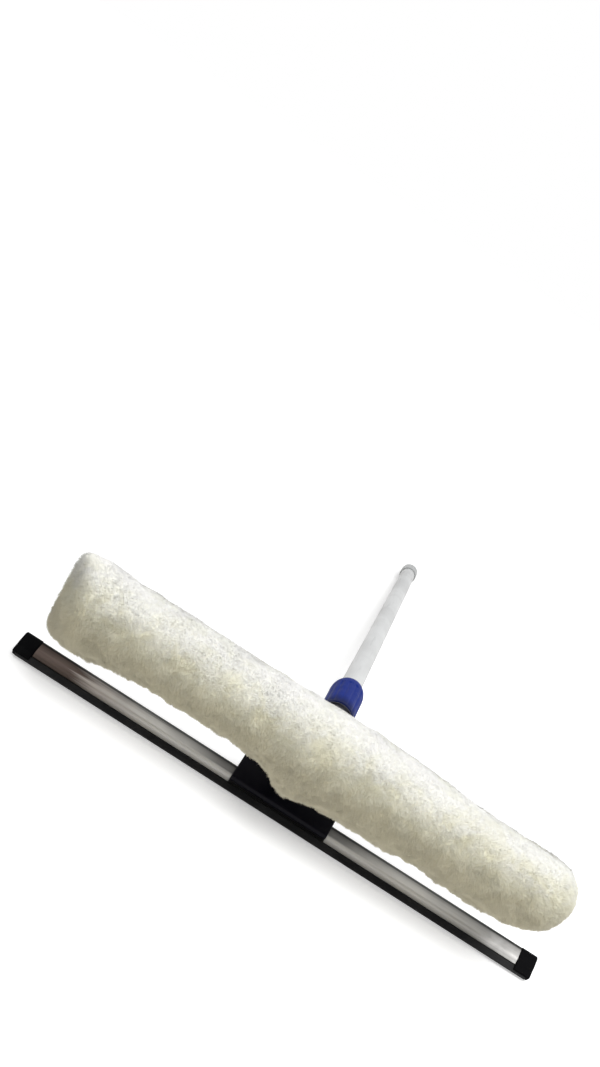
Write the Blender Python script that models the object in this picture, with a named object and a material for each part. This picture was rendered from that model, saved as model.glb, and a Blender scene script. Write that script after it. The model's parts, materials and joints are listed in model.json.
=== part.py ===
"""Window squeegee and washer head on a pole.

A fleece sleeve on a T-bar washes the glass, and a rubber blade in a metal channel below it dries it.
One moulded frame carries both, and its socket takes the pole, which a lock nut and a split collet hold.

Sizes are in metres. The tool's own frame has X along the blade, Y from the T-bar's centre back along
the pole, and Z up. The tool lies on its blade and on the pole's end collar, so its frame leans a little.
"""

import bpy
import bmesh
import math
from mathutils import Matrix, Vector

# Clearances.
TOUCH_GAP = 0.0003           # between parts that touch
RUN_GAP = 0.0003             # pole in its socket, all round
THREAD_GAP = 0.0004          # lock nut on the socket, all round
MERGE_DISTANCE = 0.000002
CUT_PAST = 0.0010            # how far a cutter runs past the face it opens
RIB_CORNER = 0.0003          # corner radius of thin ribs, slits and tapes

# Squeegee: channel, rubber and end clips, in the blade's plane (P up the blade, Q across it).
SQUEEGEE_LENGTH = 0.450
BLADE_ANGLE = math.radians(35.0)
SQUEEGEE_SETBACK = 0.0325    # channel's centre behind the T-bar's centre
SQUEEGEE_DROP = 0.0672       # channel's centre below the pole's axis
CHANNEL_HEIGHT = 0.0160
CHANNEL_THICKNESS = 0.0070
CHANNEL_WALL = 0.0010
CHANNEL_LIP_HEIGHT = 0.0055  # the part of the channel that narrows towards its lips
RUBBER_NECK = 0.0020
RUBBER_BEAD = 0.0040
RUBBER_BEAD_HEIGHT = 0.0045
RUBBER_BEAD_START = 0.0040   # above the channel's lips
RUBBER_SHOULDER = 0.0030
RUBBER_SHOULDER_HEIGHT = 0.0018
RUBBER_EDGE = 0.0016
RUBBER_REACH = 0.0055        # from the channel's lips to the blade's edge
CLIP_LENGTH = 0.0140
CLIP_PROUD = 0.0004          # clip stands out from the channel's faces
CLIP_END_WALL = 0.0025
CLIP_TONGUE = 0.0120         # tongue that goes inside the channel
CLIP_TONGUE_FILL = 0.75      # share of the channel's inner width that the tongue takes
CLIP_RUBBER_SHOW = 0.0012    # rubber's edge below the clip
CLIP_BEVEL = 0.0006

# Clamp that holds the channel: the frame's upper jaw and a loose plate below.
CLAMP_WIDTH = 0.0830
CLAMP_DEPTH = 0.0380
CLAMP_OVERHANG = 0.0005      # channel's lips beyond the upper jaw
JAW_THICKNESS = 0.0045
JAW_CHAMFER = 0.0018
JAW_BEVEL = 0.0007
LEG_INTO_JAW = 0.0020
PLATE_THICKNESS = 0.0035
PLATE_CORNER = 0.0040
PLATE_BEVEL = 0.0008
PLATE_POCKET_WIDTH = 0.0120
PLATE_POCKET_RIM = 0.0030
PLATE_POCKET_DEPTH = 0.0016
PLATE_SHORT = 0.0040         # plate stops this far inside the jaw at the back
SQUEEZE_GAP = 0.0008         # left between jaw block and plate so that the plate can pinch
CLAMP_SCREW_SPACING = 0.0540
CLAMP_SCREW_BEHIND = 0.0068  # screw's axis behind the channel's spine
CLAMP_SCREW_RADIUS = 0.0020
SCREW_HOLE_GAP = 0.0003
CLAMP_HEAD_RADIUS = 0.0038
CLAMP_HEAD_HEIGHT = 0.0024
INSERT_RADIUS = 0.0032
INSERT_LENGTH = 0.0065
SCREW_PAST_INSERT = 0.0008

# T-bar and its fleece sleeve.
T_BAR_LENGTH = 0.3600
T_BAR_RADIUS = 0.0170
T_BAR_WALL = 0.0022
T_BAR_SLOT_LENGTH = 0.0150
T_BAR_SLOT_WIDTH = 0.0070
T_BAR_SLOT_PITCH = 0.0280
T_BAR_BOSS_RADIUS = 0.0040
T_BAR_BOSS_LENGTH = 0.0080
PLUG_DOME = 0.0080
PLUG_SPIGOT = 0.0140
PLUG_WALL = 0.0020
SLEEVE_RADIUS = 0.0330
SLEEVE_END_CLOSED = 0.0200   # fleece beyond the T-bar at the sewn end, on the right
SLEEVE_END_OPEN = 0.0180     # and at the end that opens, on the left
SLEEVE_ROUND_CLOSED = 0.0260
SLEEVE_FLAT_LENGTH = 0.0280  # where the open end is pressed flat, front to back
SLEEVE_FLAT_HALF = 0.0060
SLEEVE_FLAT_CORNER = 0.0080
SLEEVE_SLOT_SPARE = 0.0030   # the slot for the saddle is this much wider on each side
SLEEVE_SLOT_CORNER = 0.0060
TAPE_WIDTH = 0.0300
TAPE_LENGTH = 0.0080
TAPE_THICKNESS = 0.0009

# Frame: saddle, neck, socket and leg.
SADDLE_WIDTH = 0.0540
SADDLE_THICKNESS = 0.0050
SADDLE_HALF_ANGLE = math.radians(38.0)
SADDLE_BEVEL = 0.0008
T_BAR_SCREW_SPACING = 0.0420
T_BAR_SCREW_RADIUS = 0.0015
T_BAR_SCREW_LENGTH = 0.0120
T_BAR_HEAD_RADIUS = 0.0032
T_BAR_HEAD_HEIGHT = 0.0020
NECK_RADIUS = 0.0150
NECK_WAIST = 0.0128
SOCKET_FLOOR = 0.0620        # bottom of the bore, from the T-bar's centre
SOCKET_DEPTH = 0.0660
SOCKET_WALL = 0.0021
SOCKET_LEAD = 0.0008         # chamfer at the socket's mouth
STOP_FLANGE = 0.0030         # ring that the lock nut comes up to
STOP_BACK = 0.0060           # its back face, beyond the bore's floor
LEG_FRONT = 0.0410           # leg's front face, behind the T-bar's centre
LEG_DEPTH = 0.0120
LEG_WEB = 0.0032
LEG_RIM = 0.0034
LEG_RIB = 0.0028
LEG_TOP_WIDTH = 0.0250
LEG_BOTTOM_WIDTH = 0.0760
LEG_RIB_STEP = 0.0015        # the middle rib stands this far below the rim, and the cross ribs further

# Lock: split collet and lock nut.
COLLET_LENGTH = 0.0140
COLLET_TAPER = 0.0012
COLLET_SLIT = 0.0012
COLLET_SLITS = 6
COLLET_BASE = 0.0035         # straight part before the taper
NUT_WALL = 0.0020
NUT_FLUTES = 14
NUT_FLUTE_DEPTH = 0.0007
NUT_EDGE = 0.0008
NUT_BAND = 0.0040            # plain band before the flutes
NUT_FLUTE_RUN = 0.0020       # length over which the flutes start
NUT_SWELL = 0.0003           # the nut is this much fuller where its dome starts
NUT_DOME = 0.0150
NUT_LIP_WALL = 0.0016
NUT_LIP_EDGE = 0.0005
NUT_FLANGE_GAP = 0.0010

# Pole and its end.
POLE_RADIUS = 0.0090
POLE_WALL = 0.0010
POLE_LENGTH = 0.6540
POLE_PLUG_FLANGE = 0.0020
POLE_PLUG_SPIGOT = 0.0160
POLE_PLUG_WALL = 0.0018
POLE_PLUG_EDGE = 0.0008
COLLAR_WALL = 0.0012
COLLAR_LENGTH = 0.0240
COLLAR_END = 0.0030
COLLAR_EDGE = 0.0012
COLLAR_LIP = 0.0004
EYE_STEM_RADIUS = 0.0050
EYE_STEM_LENGTH = 0.0120
EYE_STEM_ROOT = 0.0020       # how far the stem runs into the eye
EYE_WIDTH = 0.0170
EYE_LENGTH = 0.0240
EYE_THICKNESS = 0.0080
EYE_HOLE_RADIUS = 0.0043
EYE_ROOT_SHARE = 0.86        # width at its root, as a share of its full width
EYE_BEVEL = 0.0016

# Facets.
ROUND_STEPS = 36
SMALL_STEPS = 16
ARC_STEPS = 9
FLUTE_STEPS = 4
DOME_STEPS = 4
NUT_DOME_STEPS = 5

# What follows from the driving dimensions.
SOCKET_BORE = POLE_RADIUS + RUN_GAP
SOCKET_RADIUS = SOCKET_BORE + SOCKET_WALL
SOCKET_MOUTH = SOCKET_FLOOR + SOCKET_DEPTH
NUT_BORE = SOCKET_RADIUS + THREAD_GAP
NUT_RADIUS = NUT_BORE + NUT_WALL
SADDLE_RADIUS = T_BAR_RADIUS + TOUCH_GAP
SADDLE_BACK = SADDLE_RADIUS + SADDLE_THICKNESS
HALF_THICKNESS = CHANNEL_THICKNESS / 2
SPINE_TOP = CHANNEL_HEIGHT / 2
LIPS = -CHANNEL_HEIGHT / 2
RUBBER_TIP = LIPS - RUBBER_REACH
CHANNEL_HALF = SQUEEGEE_LENGTH / 2 - CLIP_LENGTH - TOUCH_GAP
POLE_FRONT = SOCKET_FLOOR + POLE_PLUG_FLANGE + 2 * TOUCH_GAP
JAW_BACK = LIPS + CLAMP_OVERHANG + CLAMP_DEPTH
JAW_BLOCK_LOW = -HALF_THICKNESS - TOUCH_GAP + SQUEEZE_GAP
CLAMP_SCREW_P = SPINE_TOP + CLAMP_SCREW_BEHIND
CLAMP_SCREW_HOLE = CLAMP_SCREW_RADIUS + SCREW_HOLE_GAP
STOP_RING_BACK = SOCKET_FLOOR + STOP_BACK
NUT_START = STOP_RING_BACK + NUT_FLANGE_GAP
COLLET_OUTER = SOCKET_RADIUS - SOCKET_LEAD


def clear_scene():
    for item in list(bpy.data.objects):
        bpy.data.objects.remove(item)


def material(name, colour, metallic, roughness):
    made = bpy.data.materials.new(name)
    made.use_nodes = True
    shader = made.node_tree.nodes["Principled BSDF"]
    shader.inputs["Base Color"].default_value = (*colour, 1.0)
    shader.inputs["Metallic"].default_value = metallic
    shader.inputs["Roughness"].default_value = roughness
    return made


def to_object(name, mesh_builder):
    """Closes a bmesh into an object whose faces point outwards."""
    bmesh.ops.remove_doubles(mesh_builder, verts=mesh_builder.verts, dist=MERGE_DISTANCE)
    bmesh.ops.recalc_face_normals(mesh_builder, faces=mesh_builder.faces)
    mesh = bpy.data.meshes.new(name)
    mesh_builder.to_mesh(mesh)
    mesh_builder.free()
    made = bpy.data.objects.new(name, mesh)
    bpy.context.scene.collection.objects.link(made)
    return made


AXIS_ORDER = {"X": (2, 0, 1), "Y": (0, 2, 1), "Z": (0, 1, 2)}


def on_axis(axis, first, second, along):
    """Puts a plane point and a distance along an axis into X, Y, Z order."""
    values = (first, second, along)
    return Vector([values[index] for index in AXIS_ORDER[axis]])


def prism(name, outline, low, high, axis):
    """An outline in the plane across an axis, extruded from low to high along it."""
    builder = bmesh.new()
    corners = [builder.verts.new(on_axis(axis, first, second, low)) for first, second in outline]
    base = builder.faces.new(corners)
    grown = bmesh.ops.extrude_face_region(builder, geom=[base], use_keep_orig=True)
    moved = [item for item in grown["geom"] if isinstance(item, bmesh.types.BMVert)]
    bmesh.ops.translate(builder, verts=moved, vec=on_axis(axis, 0.0, 0.0, high - low))
    return to_object(name, builder)


def turned(name, profile, closed=True, steps=ROUND_STEPS):
    """A profile of (radius, distance along Y) pairs, spun a full turn about Y."""
    builder = bmesh.new()
    points = [builder.verts.new((radius, along, 0.0)) for radius, along in profile]
    edges = [builder.edges.new(pair) for pair in zip(points, points[1:])]
    if closed:
        edges.append(builder.edges.new((points[-1], points[0])))
    bmesh.ops.spin(builder, geom=points + edges, cent=(0, 0, 0), axis=(0, 1, 0),
                   angle=math.tau, steps=steps, use_merge=True)
    return to_object(name, builder)


def place_mesh(item, matrix):
    item.data.transform(matrix)
    return item


def keep_modifiers(item):
    """Writes an object's modifiers into its mesh, and merges the doubled corners that cuts can leave."""
    graph = bpy.context.evaluated_depsgraph_get()
    mesh = bpy.data.meshes.new_from_object(item.evaluated_get(graph))
    cleaner = bmesh.new()
    cleaner.from_mesh(mesh)
    bmesh.ops.remove_doubles(cleaner, verts=cleaner.verts, dist=MERGE_DISTANCE)
    cleaner.to_mesh(mesh)
    cleaner.free()
    item.modifiers.clear()
    item.data = mesh


def combine(item, tool, operation):
    """Joins a tool's solid to an object, or cuts it away, and removes the tool."""
    boolean = item.modifiers.new("combine", "BOOLEAN")
    boolean.operation = operation
    boolean.solver = "EXACT"
    boolean.object = tool
    keep_modifiers(item)
    bpy.data.objects.remove(tool)


def add(item, tool):
    combine(item, tool, "UNION")


def cut(item, tool):
    combine(item, tool, "DIFFERENCE")


def bevel(item, width, segments=2, angle=math.radians(40.0)):
    edge = item.modifiers.new("bevel", "BEVEL")
    edge.width = width
    edge.segments = segments
    edge.limit_method = "ANGLE"
    edge.angle_limit = angle
    keep_modifiers(item)
    return item


def arc(centre, radius, start, end, steps=ARC_STEPS):
    """Points on an arc in a plane, both ends included, angles in radians."""
    points = []
    for step in range(steps + 1):
        angle = start + (end - start) * step / steps
        points.append((centre[0] + radius * math.cos(angle), centre[1] + radius * math.sin(angle)))
    return points


def rounded_box(first, second, radius, steps=4):
    """Outline of a rectangle, given as two (low, high) pairs, with round corners."""
    quarter = math.pi / 2
    corners = [(first[1] - radius, second[1] - radius), (first[0] + radius, second[1] - radius),
               (first[0] + radius, second[0] + radius), (first[1] - radius, second[0] + radius)]
    outline = []
    for turn, corner in enumerate(corners):
        outline += arc(corner, radius, turn * quarter, (turn + 1) * quarter, steps)
    return outline


def ease(share):
    """Smooth step from 0 to 1 with level ends."""
    return share * share * (3.0 - 2.0 * share)


def finish(item, look, parent, location=(0.0, 0.0, 0.0), smooth_angle=math.radians(35.0)):
    """Gives an object its look, its parent and its place under it."""
    item.data.materials.clear()
    item.data.materials.append(look)
    item.data.shade_smooth()
    item.data.set_sharp_from_angle(angle=smooth_angle)
    item.parent = parent
    item.location = location
    return item


def empty(name, parent=None, location=(0.0, 0.0, 0.0), turn_x=0.0):
    made = bpy.data.objects.new(name, None)
    bpy.context.scene.collection.objects.link(made)
    made.parent = parent
    made.location = location
    made.rotation_euler = (turn_x, 0.0, 0.0)
    return made


# Squeegee.

def channel_half_width(height, inset):
    """Half thickness of the channel's wall line at a height up the blade, moved in by an inset."""
    spine_radius = HALF_THICKNESS
    spine_centre = SPINE_TOP - spine_radius
    lip_start = LIPS + CHANNEL_LIP_HEIGHT
    lip_half = RUBBER_NECK / 2 + TOUCH_GAP + CHANNEL_WALL
    if height > spine_centre:
        reach = spine_radius - inset
        return math.sqrt(max(reach ** 2 - (height - spine_centre) ** 2, 0.0))
    if height > lip_start:
        return spine_radius - inset
    share = ease((lip_start - height) / CHANNEL_LIP_HEIGHT)
    return spine_radius + (lip_half - spine_radius) * share - inset


def channel_side(inset):
    """One side of the channel's section from the lips up to the spine, as (P, Q) pairs."""
    spine_centre = SPINE_TOP - HALF_THICKNESS
    lip_steps = 5
    side = []
    for step in range(lip_steps + 1):
        height = LIPS + CHANNEL_LIP_HEIGHT * step / lip_steps
        side.append((height, channel_half_width(height, inset)))
    quarter = arc((spine_centre, 0.0), HALF_THICKNESS - inset, math.pi / 2, 0.0, steps=6)
    return side + quarter


def mirrored(side):
    """A section from one side of it, whose last point lies on the middle line."""
    return side + [(first, -second) for first, second in reversed(side[:-1])]


def squeegee_channel():
    outer = mirrored(channel_side(0.0))
    inner = mirrored(channel_side(CHANNEL_WALL))
    outline = outer + list(reversed(inner))
    return prism("squeegee_channel", outline, -CHANNEL_HALF, CHANNEL_HALF, "X")


def rubber_side(grow):
    """One side of the rubber's section from its edge up to its bead, grown by a clearance."""
    bead_low = LIPS + RUBBER_BEAD_START
    bead_high = bead_low + RUBBER_BEAD_HEIGHT
    shoulder_low = LIPS - RUBBER_SHOULDER_HEIGHT
    return [(RUBBER_TIP - grow, RUBBER_EDGE / 2 + grow),
            (shoulder_low - grow, RUBBER_SHOULDER / 2 + grow),
            (LIPS - TOUCH_GAP + grow, RUBBER_SHOULDER / 2 + grow),
            (LIPS - TOUCH_GAP + grow, RUBBER_NECK / 2 + grow),
            (bead_low - grow, RUBBER_NECK / 2 + grow),
            (bead_low - grow, RUBBER_BEAD / 2 + grow),
            (bead_high + grow, RUBBER_BEAD / 2 + grow)]


def rubber_outline(grow):
    side = rubber_side(grow)
    return side + [(first, -second) for first, second in reversed(side)]


def rubber_blade():
    half = SQUEEGEE_LENGTH / 2 - CLIP_END_WALL - TOUCH_GAP
    return prism("rubber_blade", rubber_outline(0.0), -half, half, "X")


def clip_outline():
    """Section of an end clip: the channel's outline, a little proud, carried down over the rubber."""
    foot_half = RUBBER_SHOULDER / 2 + TOUCH_GAP + CHANNEL_WALL
    foot = RUBBER_TIP + CLIP_RUBBER_SHOW
    side = [(foot, foot_half), (LIPS, foot_half + CLIP_PROUD)]
    spine_centre = SPINE_TOP - HALF_THICKNESS
    spine_growth = (HALF_THICKNESS + CLIP_PROUD) / HALF_THICKNESS
    for height, half in channel_side(0.0)[2:]:
        if height > spine_centre:
            side.append((spine_centre + (height - spine_centre) * spine_growth, half * spine_growth))
        else:
            side.append((height, max(half, foot_half) + CLIP_PROUD))
    return mirrored(side)


def end_clip(name, side):
    end = SQUEEGEE_LENGTH / 2
    inner = end - CLIP_LENGTH
    clip = prism(name, clip_outline(), inner, end, "X")
    bevel(clip, CLIP_BEVEL, segments=1)
    bead_top = rubber_side(0.0)[-1][0]
    room_half = HALF_THICKNESS - CHANNEL_WALL - TOUCH_GAP
    tongue_half = room_half * CLIP_TONGUE_FILL
    tongue_top = SPINE_TOP - HALF_THICKNESS + room_half * 0.6
    tongue = prism("tongue", rounded_box((bead_top + 2 * TOUCH_GAP, tongue_top),
                                         (-tongue_half, tongue_half), tongue_half / 2),
                   inner - CLIP_TONGUE, inner + CUT_PAST, "X")
    add(clip, tongue)
    pocket = prism("pocket", rubber_outline(TOUCH_GAP), inner - CUT_PAST, end - CLIP_END_WALL, "X")
    cut(clip, pocket)
    if side < 0:
        mirror_x(clip)
    return clip


def mirror_x(item):
    """Turns a right-hand piece into its left-hand twin."""
    item.data.transform(Matrix.Scale(-1.0, 4, Vector((1.0, 0.0, 0.0))))
    item.data.flip_normals()
    return item


# Clamp.

def jaw(plane):
    """The frame's upper jaw: a plate over the channel and a block behind the channel's spine."""
    front = LIPS + CLAMP_OVERHANG
    low = HALF_THICKNESS + TOUCH_GAP
    high = low + JAW_THICKNESS
    spine_back = SPINE_TOP + 2 * TOUCH_GAP
    outline = [(front, low), (front, high - JAW_CHAMFER), (front + JAW_CHAMFER, high), (JAW_BACK, high),
               (JAW_BACK, JAW_BLOCK_LOW), (spine_back, JAW_BLOCK_LOW), (spine_back, low)]
    block = prism("jaw", outline, -CLAMP_WIDTH / 2, CLAMP_WIDTH / 2, "X")
    bevel(block, JAW_BEVEL, segments=2)
    return place_mesh(block, plane)


def clamp_plate():
    front = LIPS + CLAMP_OVERHANG
    back = JAW_BACK - PLATE_SHORT
    high = -HALF_THICKNESS - TOUCH_GAP
    low = high - PLATE_THICKNESS
    outline = rounded_box((-CLAMP_WIDTH / 2, CLAMP_WIDTH / 2), (front, back), PLATE_CORNER)
    plate = prism("clamp_plate", outline, low, high, "Z")
    bevel(plate, PLATE_BEVEL, segments=1)
    for side in (-1, 1):
        middle = side * CLAMP_SCREW_SPACING / 4
        across = (middle - PLATE_POCKET_WIDTH / 2, middle + PLATE_POCKET_WIDTH / 2)
        pocket = prism("pocket", rounded_box(across, (front + PLATE_POCKET_RIM, back - PLATE_POCKET_RIM),
                                             PLATE_CORNER / 2),
                       low - CUT_PAST, low + PLATE_POCKET_DEPTH, "Z")
        cut(plate, pocket)
        cut(plate, clamp_hole(side, CLAMP_SCREW_HOLE, low - CUT_PAST, high + CUT_PAST))
    return plate


def rod(name, radius, low, high):
    """A plain round rod along Y, turned half a facet so that no corner lies on a middle plane."""
    profile = [(0.0, low), (radius, low), (radius, high), (0.0, high)]
    item = turned(name, profile, closed=False, steps=SMALL_STEPS)
    return place_mesh(item, Matrix.Rotation(math.pi / SMALL_STEPS, 4, "Y"))


STAND_UP = Matrix.Rotation(math.radians(90.0), 4, "X")


def clamp_hole(side, radius, low, high):
    """A round cutter across the blade plane at one clamp screw's place."""
    place = Matrix.Translation((side * CLAMP_SCREW_SPACING / 2, CLAMP_SCREW_P, 0.0))
    return place_mesh(rod("hole", radius, low, high), place @ STAND_UP)


def clamp_insert(name):
    """Threaded brass bush, pressed into the jaw's block from below."""
    bush = rod(name, INSERT_RADIUS, 0.0, INSERT_LENGTH)
    cut(bush, rod("bore", CLAMP_SCREW_HOLE, -CUT_PAST, INSERT_LENGTH + CUT_PAST))
    return place_mesh(bush, STAND_UP)


def pan_screw(name, head_radius, head_height, shank_radius, shank_length):
    """A pan-head screw along Y: its head's seat at the origin, its shank towards -Y."""
    dome = arc((0.0, 0.0), 1.0, math.radians(90.0), 0.0, steps=3)
    profile = [(head_radius * first, head_height * (0.45 + 0.55 * second)) for first, second in dome]
    point = shank_radius / 2
    profile += [(head_radius, 0.0), (shank_radius, 0.0), (shank_radius, point - shank_length),
                (point, -shank_length), (0.0, -shank_length)]
    screw = turned(name, profile, closed=False, steps=SMALL_STEPS)
    slot_half = head_radius * 0.13
    outline = rounded_box((-2 * head_radius, 2 * head_radius), (-slot_half, slot_half), slot_half / 2, 1)
    slot = prism("slot", outline, head_height * 0.5, head_height * 1.5, "Y")
    cut(screw, slot)
    return screw


# Frame.

def saddle():
    """Curved pad on the back of the T-bar."""
    ends = (-SADDLE_HALF_ANGLE, SADDLE_HALF_ANGLE)
    outer = arc((0.0, 0.0), SADDLE_BACK, ends[0], ends[1])
    inner = arc((0.0, 0.0), SADDLE_RADIUS, ends[1], ends[0])
    pad = prism("head_frame", outer + inner, -SADDLE_WIDTH / 2, SADDLE_WIDTH / 2, "X")
    return bevel(pad, SADDLE_BEVEL, segments=2)


def neck_and_socket():
    """Round neck that runs from the saddle into the pole's socket, with the nut's stop ring."""
    start = SADDLE_RADIUS + SADDLE_THICKNESS * 0.3
    ring_front = STOP_RING_BACK - STOP_FLANGE
    waist_steps = 6
    profile = [(0.0, start)]
    for step in range(waist_steps + 1):
        share = step / waist_steps
        radius = NECK_RADIUS + (NECK_WAIST - NECK_RADIUS) * ease(share)
        profile.append((radius, start + (SOCKET_FLOOR - start) * share))
    ring_round = STOP_FLANGE * 0.3
    profile += [(NECK_WAIST, ring_front - (NUT_RADIUS - NECK_WAIST)),
                (NUT_RADIUS - ring_round, ring_front), (NUT_RADIUS, ring_front + ring_round),
                (NUT_RADIUS, STOP_RING_BACK - ring_round), (NUT_RADIUS - ring_round, STOP_RING_BACK),
                (SOCKET_RADIUS, STOP_RING_BACK), (SOCKET_RADIUS, SOCKET_MOUTH - SOCKET_LEAD),
                (COLLET_OUTER, SOCKET_MOUTH), (0.0, SOCKET_MOUTH)]
    return turned("neck", profile, closed=False)


def leg_half_width(share):
    """Half width of the leg, from its top (0) down to the jaw (1): narrow, then flaring out."""
    return (LEG_TOP_WIDTH + (LEG_BOTTOM_WIDTH - LEG_TOP_WIDTH) * share ** 1.7) / 2


def leg_outline(top, bottom, inset):
    """Leg's outline in the XZ plane, moved in by an inset."""
    steps = 8
    right = []
    for step in range(steps + 1):
        share = step / steps
        height = top + (bottom - top) * share
        right.append((leg_half_width(share) - inset, height))
    right[0] = (right[0][0], top - inset)
    right[-1] = (right[-1][0], bottom + inset)
    return right + [(-across, height) for across, height in reversed(right)]


def leg_solids(bottom):
    """Web, rim and ribs of the flared leg between the neck and the jaw."""
    top = -NECK_WAIST * 0.35
    back = LEG_FRONT + LEG_DEPTH
    web = prism("web", leg_outline(top, bottom, 0.0), LEG_FRONT, back, "Y")
    hollow = prism("hollow", leg_outline(top - NECK_WAIST, bottom, LEG_RIM), LEG_FRONT + LEG_WEB,
                   back + CUT_PAST, "Y")
    cut(web, hollow)
    rib_front = LEG_FRONT + LEG_WEB / 2
    outline = rounded_box((-LEG_RIB / 2, LEG_RIB / 2), (bottom, top - LEG_RIM), RIB_CORNER, 1)
    add(web, prism("rib", outline, rib_front, back - LEG_RIB_STEP, "Y"))
    for number, share in enumerate((0.52, 0.76)):
        height = top + (bottom - top) * share
        reach = leg_half_width(share) - LEG_RIM / 2
        outline = rounded_box((-reach, reach), (height - LEG_RIB / 2, height + LEG_RIB / 2), RIB_CORNER, 1)
        front = rib_front - (number + 1) * TOUCH_GAP
        add(web, prism("rib", outline, front, back - LEG_RIB_STEP * 1.7, "Y"))
    return web


def head_frame(plane):
    frame = saddle()
    add(frame, neck_and_socket())
    leg_bottom = (plane @ Vector((0.0, JAW_BACK - LEG_INTO_JAW, HALF_THICKNESS))).z
    add(frame, leg_solids(leg_bottom))
    add(frame, jaw(plane))
    bore_end = SOCKET_MOUTH + CUT_PAST
    bore = turned("bore", [(0.0, SOCKET_FLOOR), (SOCKET_BORE, SOCKET_FLOOR), (SOCKET_BORE, bore_end),
                           (0.0, bore_end)], closed=False)
    cut(frame, bore)
    insert_top = JAW_BLOCK_LOW + INSERT_LENGTH + 2 * TOUCH_GAP
    for side in (-1, 1):
        pocket = clamp_hole(side, INSERT_RADIUS + TOUCH_GAP, JAW_BLOCK_LOW - CUT_PAST, insert_top)
        cut(frame, place_mesh(pocket, plane))
        relief = clamp_hole(side, CLAMP_SCREW_HOLE, JAW_BLOCK_LOW, insert_top + SCREW_PAST_INSERT + TOUCH_GAP)
        cut(frame, place_mesh(relief, plane))
        cut(frame, t_bar_drill(side))
    return frame


# T-bar and sleeve.

def stadium(length, width):
    """Outline of a slot with round ends, along the first axis."""
    straight = length - width
    quarter = math.pi / 2
    return (arc((straight / 2, 0.0), width / 2, -quarter, quarter, 5)
            + arc((-straight / 2, 0.0), width / 2, quarter, 3 * quarter, 5))


def t_bar_drill(side):
    """Cutter for one of the screws that hold the saddle to the T-bar."""
    drill = rod("drill", T_BAR_SCREW_RADIUS + SCREW_HOLE_GAP, -T_BAR_RADIUS / 2, 2 * SADDLE_BACK)
    return place_mesh(drill, Matrix.Translation((side * T_BAR_SCREW_SPACING / 2, 0.0, 0.0)))


def lay_along_x(item):
    """Turns a piece spun about Y so that it lies along X."""
    return place_mesh(item, Matrix.Rotation(math.radians(-90.0), 4, "Z"))


def t_bar():
    inner = T_BAR_RADIUS - T_BAR_WALL
    half = T_BAR_LENGTH / 2
    profile = [(T_BAR_RADIUS, -half), (T_BAR_RADIUS, half), (inner, half), (inner, -half)]
    bar = lay_along_x(turned("t_bar", profile))
    for side in (-1, 1):
        seat = inner + T_BAR_WALL * 0.4
        boss = rod("boss", T_BAR_BOSS_RADIUS, seat - T_BAR_BOSS_LENGTH, seat)
        add(bar, place_mesh(boss, Matrix.Translation((side * T_BAR_SCREW_SPACING / 2, 0.0, 0.0))))
        cut(bar, t_bar_drill(side))
    first_slot = SADDLE_WIDTH / 2 + T_BAR_SLOT_LENGTH / 2
    room = half - PLUG_SPIGOT - T_BAR_SLOT_LENGTH - first_slot
    for number in range(int(room // T_BAR_SLOT_PITCH) + 1):
        for side in (-1, 1):
            slot = prism("slot", stadium(T_BAR_SLOT_LENGTH, T_BAR_SLOT_WIDTH), -2 * T_BAR_RADIUS,
                         2 * T_BAR_RADIUS, "Z")
            across = side * (first_slot + number * T_BAR_SLOT_PITCH)
            cut(bar, place_mesh(slot, Matrix.Translation((across, 0.0, 0.0))))
    return bar


def t_bar_plug(name, side):
    spigot = T_BAR_RADIUS - T_BAR_WALL - TOUCH_GAP
    cup_floor = PLUG_WALL * 2 - PLUG_SPIGOT
    dome = arc((0.0, 0.0), 1.0, 0.0, math.radians(90.0), DOME_STEPS)
    profile = [(0.0, cup_floor), (spigot - PLUG_WALL, cup_floor), (spigot - PLUG_WALL, -PLUG_SPIGOT),
               (spigot, -PLUG_SPIGOT), (spigot, TOUCH_GAP)]
    profile += [(T_BAR_RADIUS * first, TOUCH_GAP + PLUG_DOME * second) for first, second in dome]
    plug = lay_along_x(turned(name, profile, closed=False))
    if side < 0:
        mirror_x(plug)
    return plug


def oval_loft(name, ovals, steps=ROUND_STEPS):
    """A closed solid through ovals across X, each an (X, half depth, half height) triple."""
    builder = bmesh.new()
    angles = [math.tau * step / steps for step in range(steps)]
    rows = []
    for along, half_depth, half_height in ovals:
        row = [(along, half_depth * math.cos(angle), half_height * math.sin(angle)) for angle in angles]
        rows.append([builder.verts.new(point) for point in row])
    for row, following in zip(rows, rows[1:]):
        for step in range(steps):
            after = (step + 1) % steps
            builder.faces.new((row[step], row[after], following[after], following[step]))
    builder.faces.new(rows[0])
    builder.faces.new(rows[-1])
    return to_object(name, builder)


def closed_end_ovals():
    """The sleeve's sewn end, on the right: a round dome."""
    reach = sleeve_reach(SLEEVE_END_CLOSED)
    ovals = []
    for step in range(7):
        angle = math.radians(90.0) * step / 6
        radius = SLEEVE_RADIUS - SLEEVE_ROUND_CLOSED * (1.0 - math.cos(angle))
        ovals.append((reach - SLEEVE_ROUND_CLOSED * (1.0 - math.sin(angle)), radius, radius))
    return ovals


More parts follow.
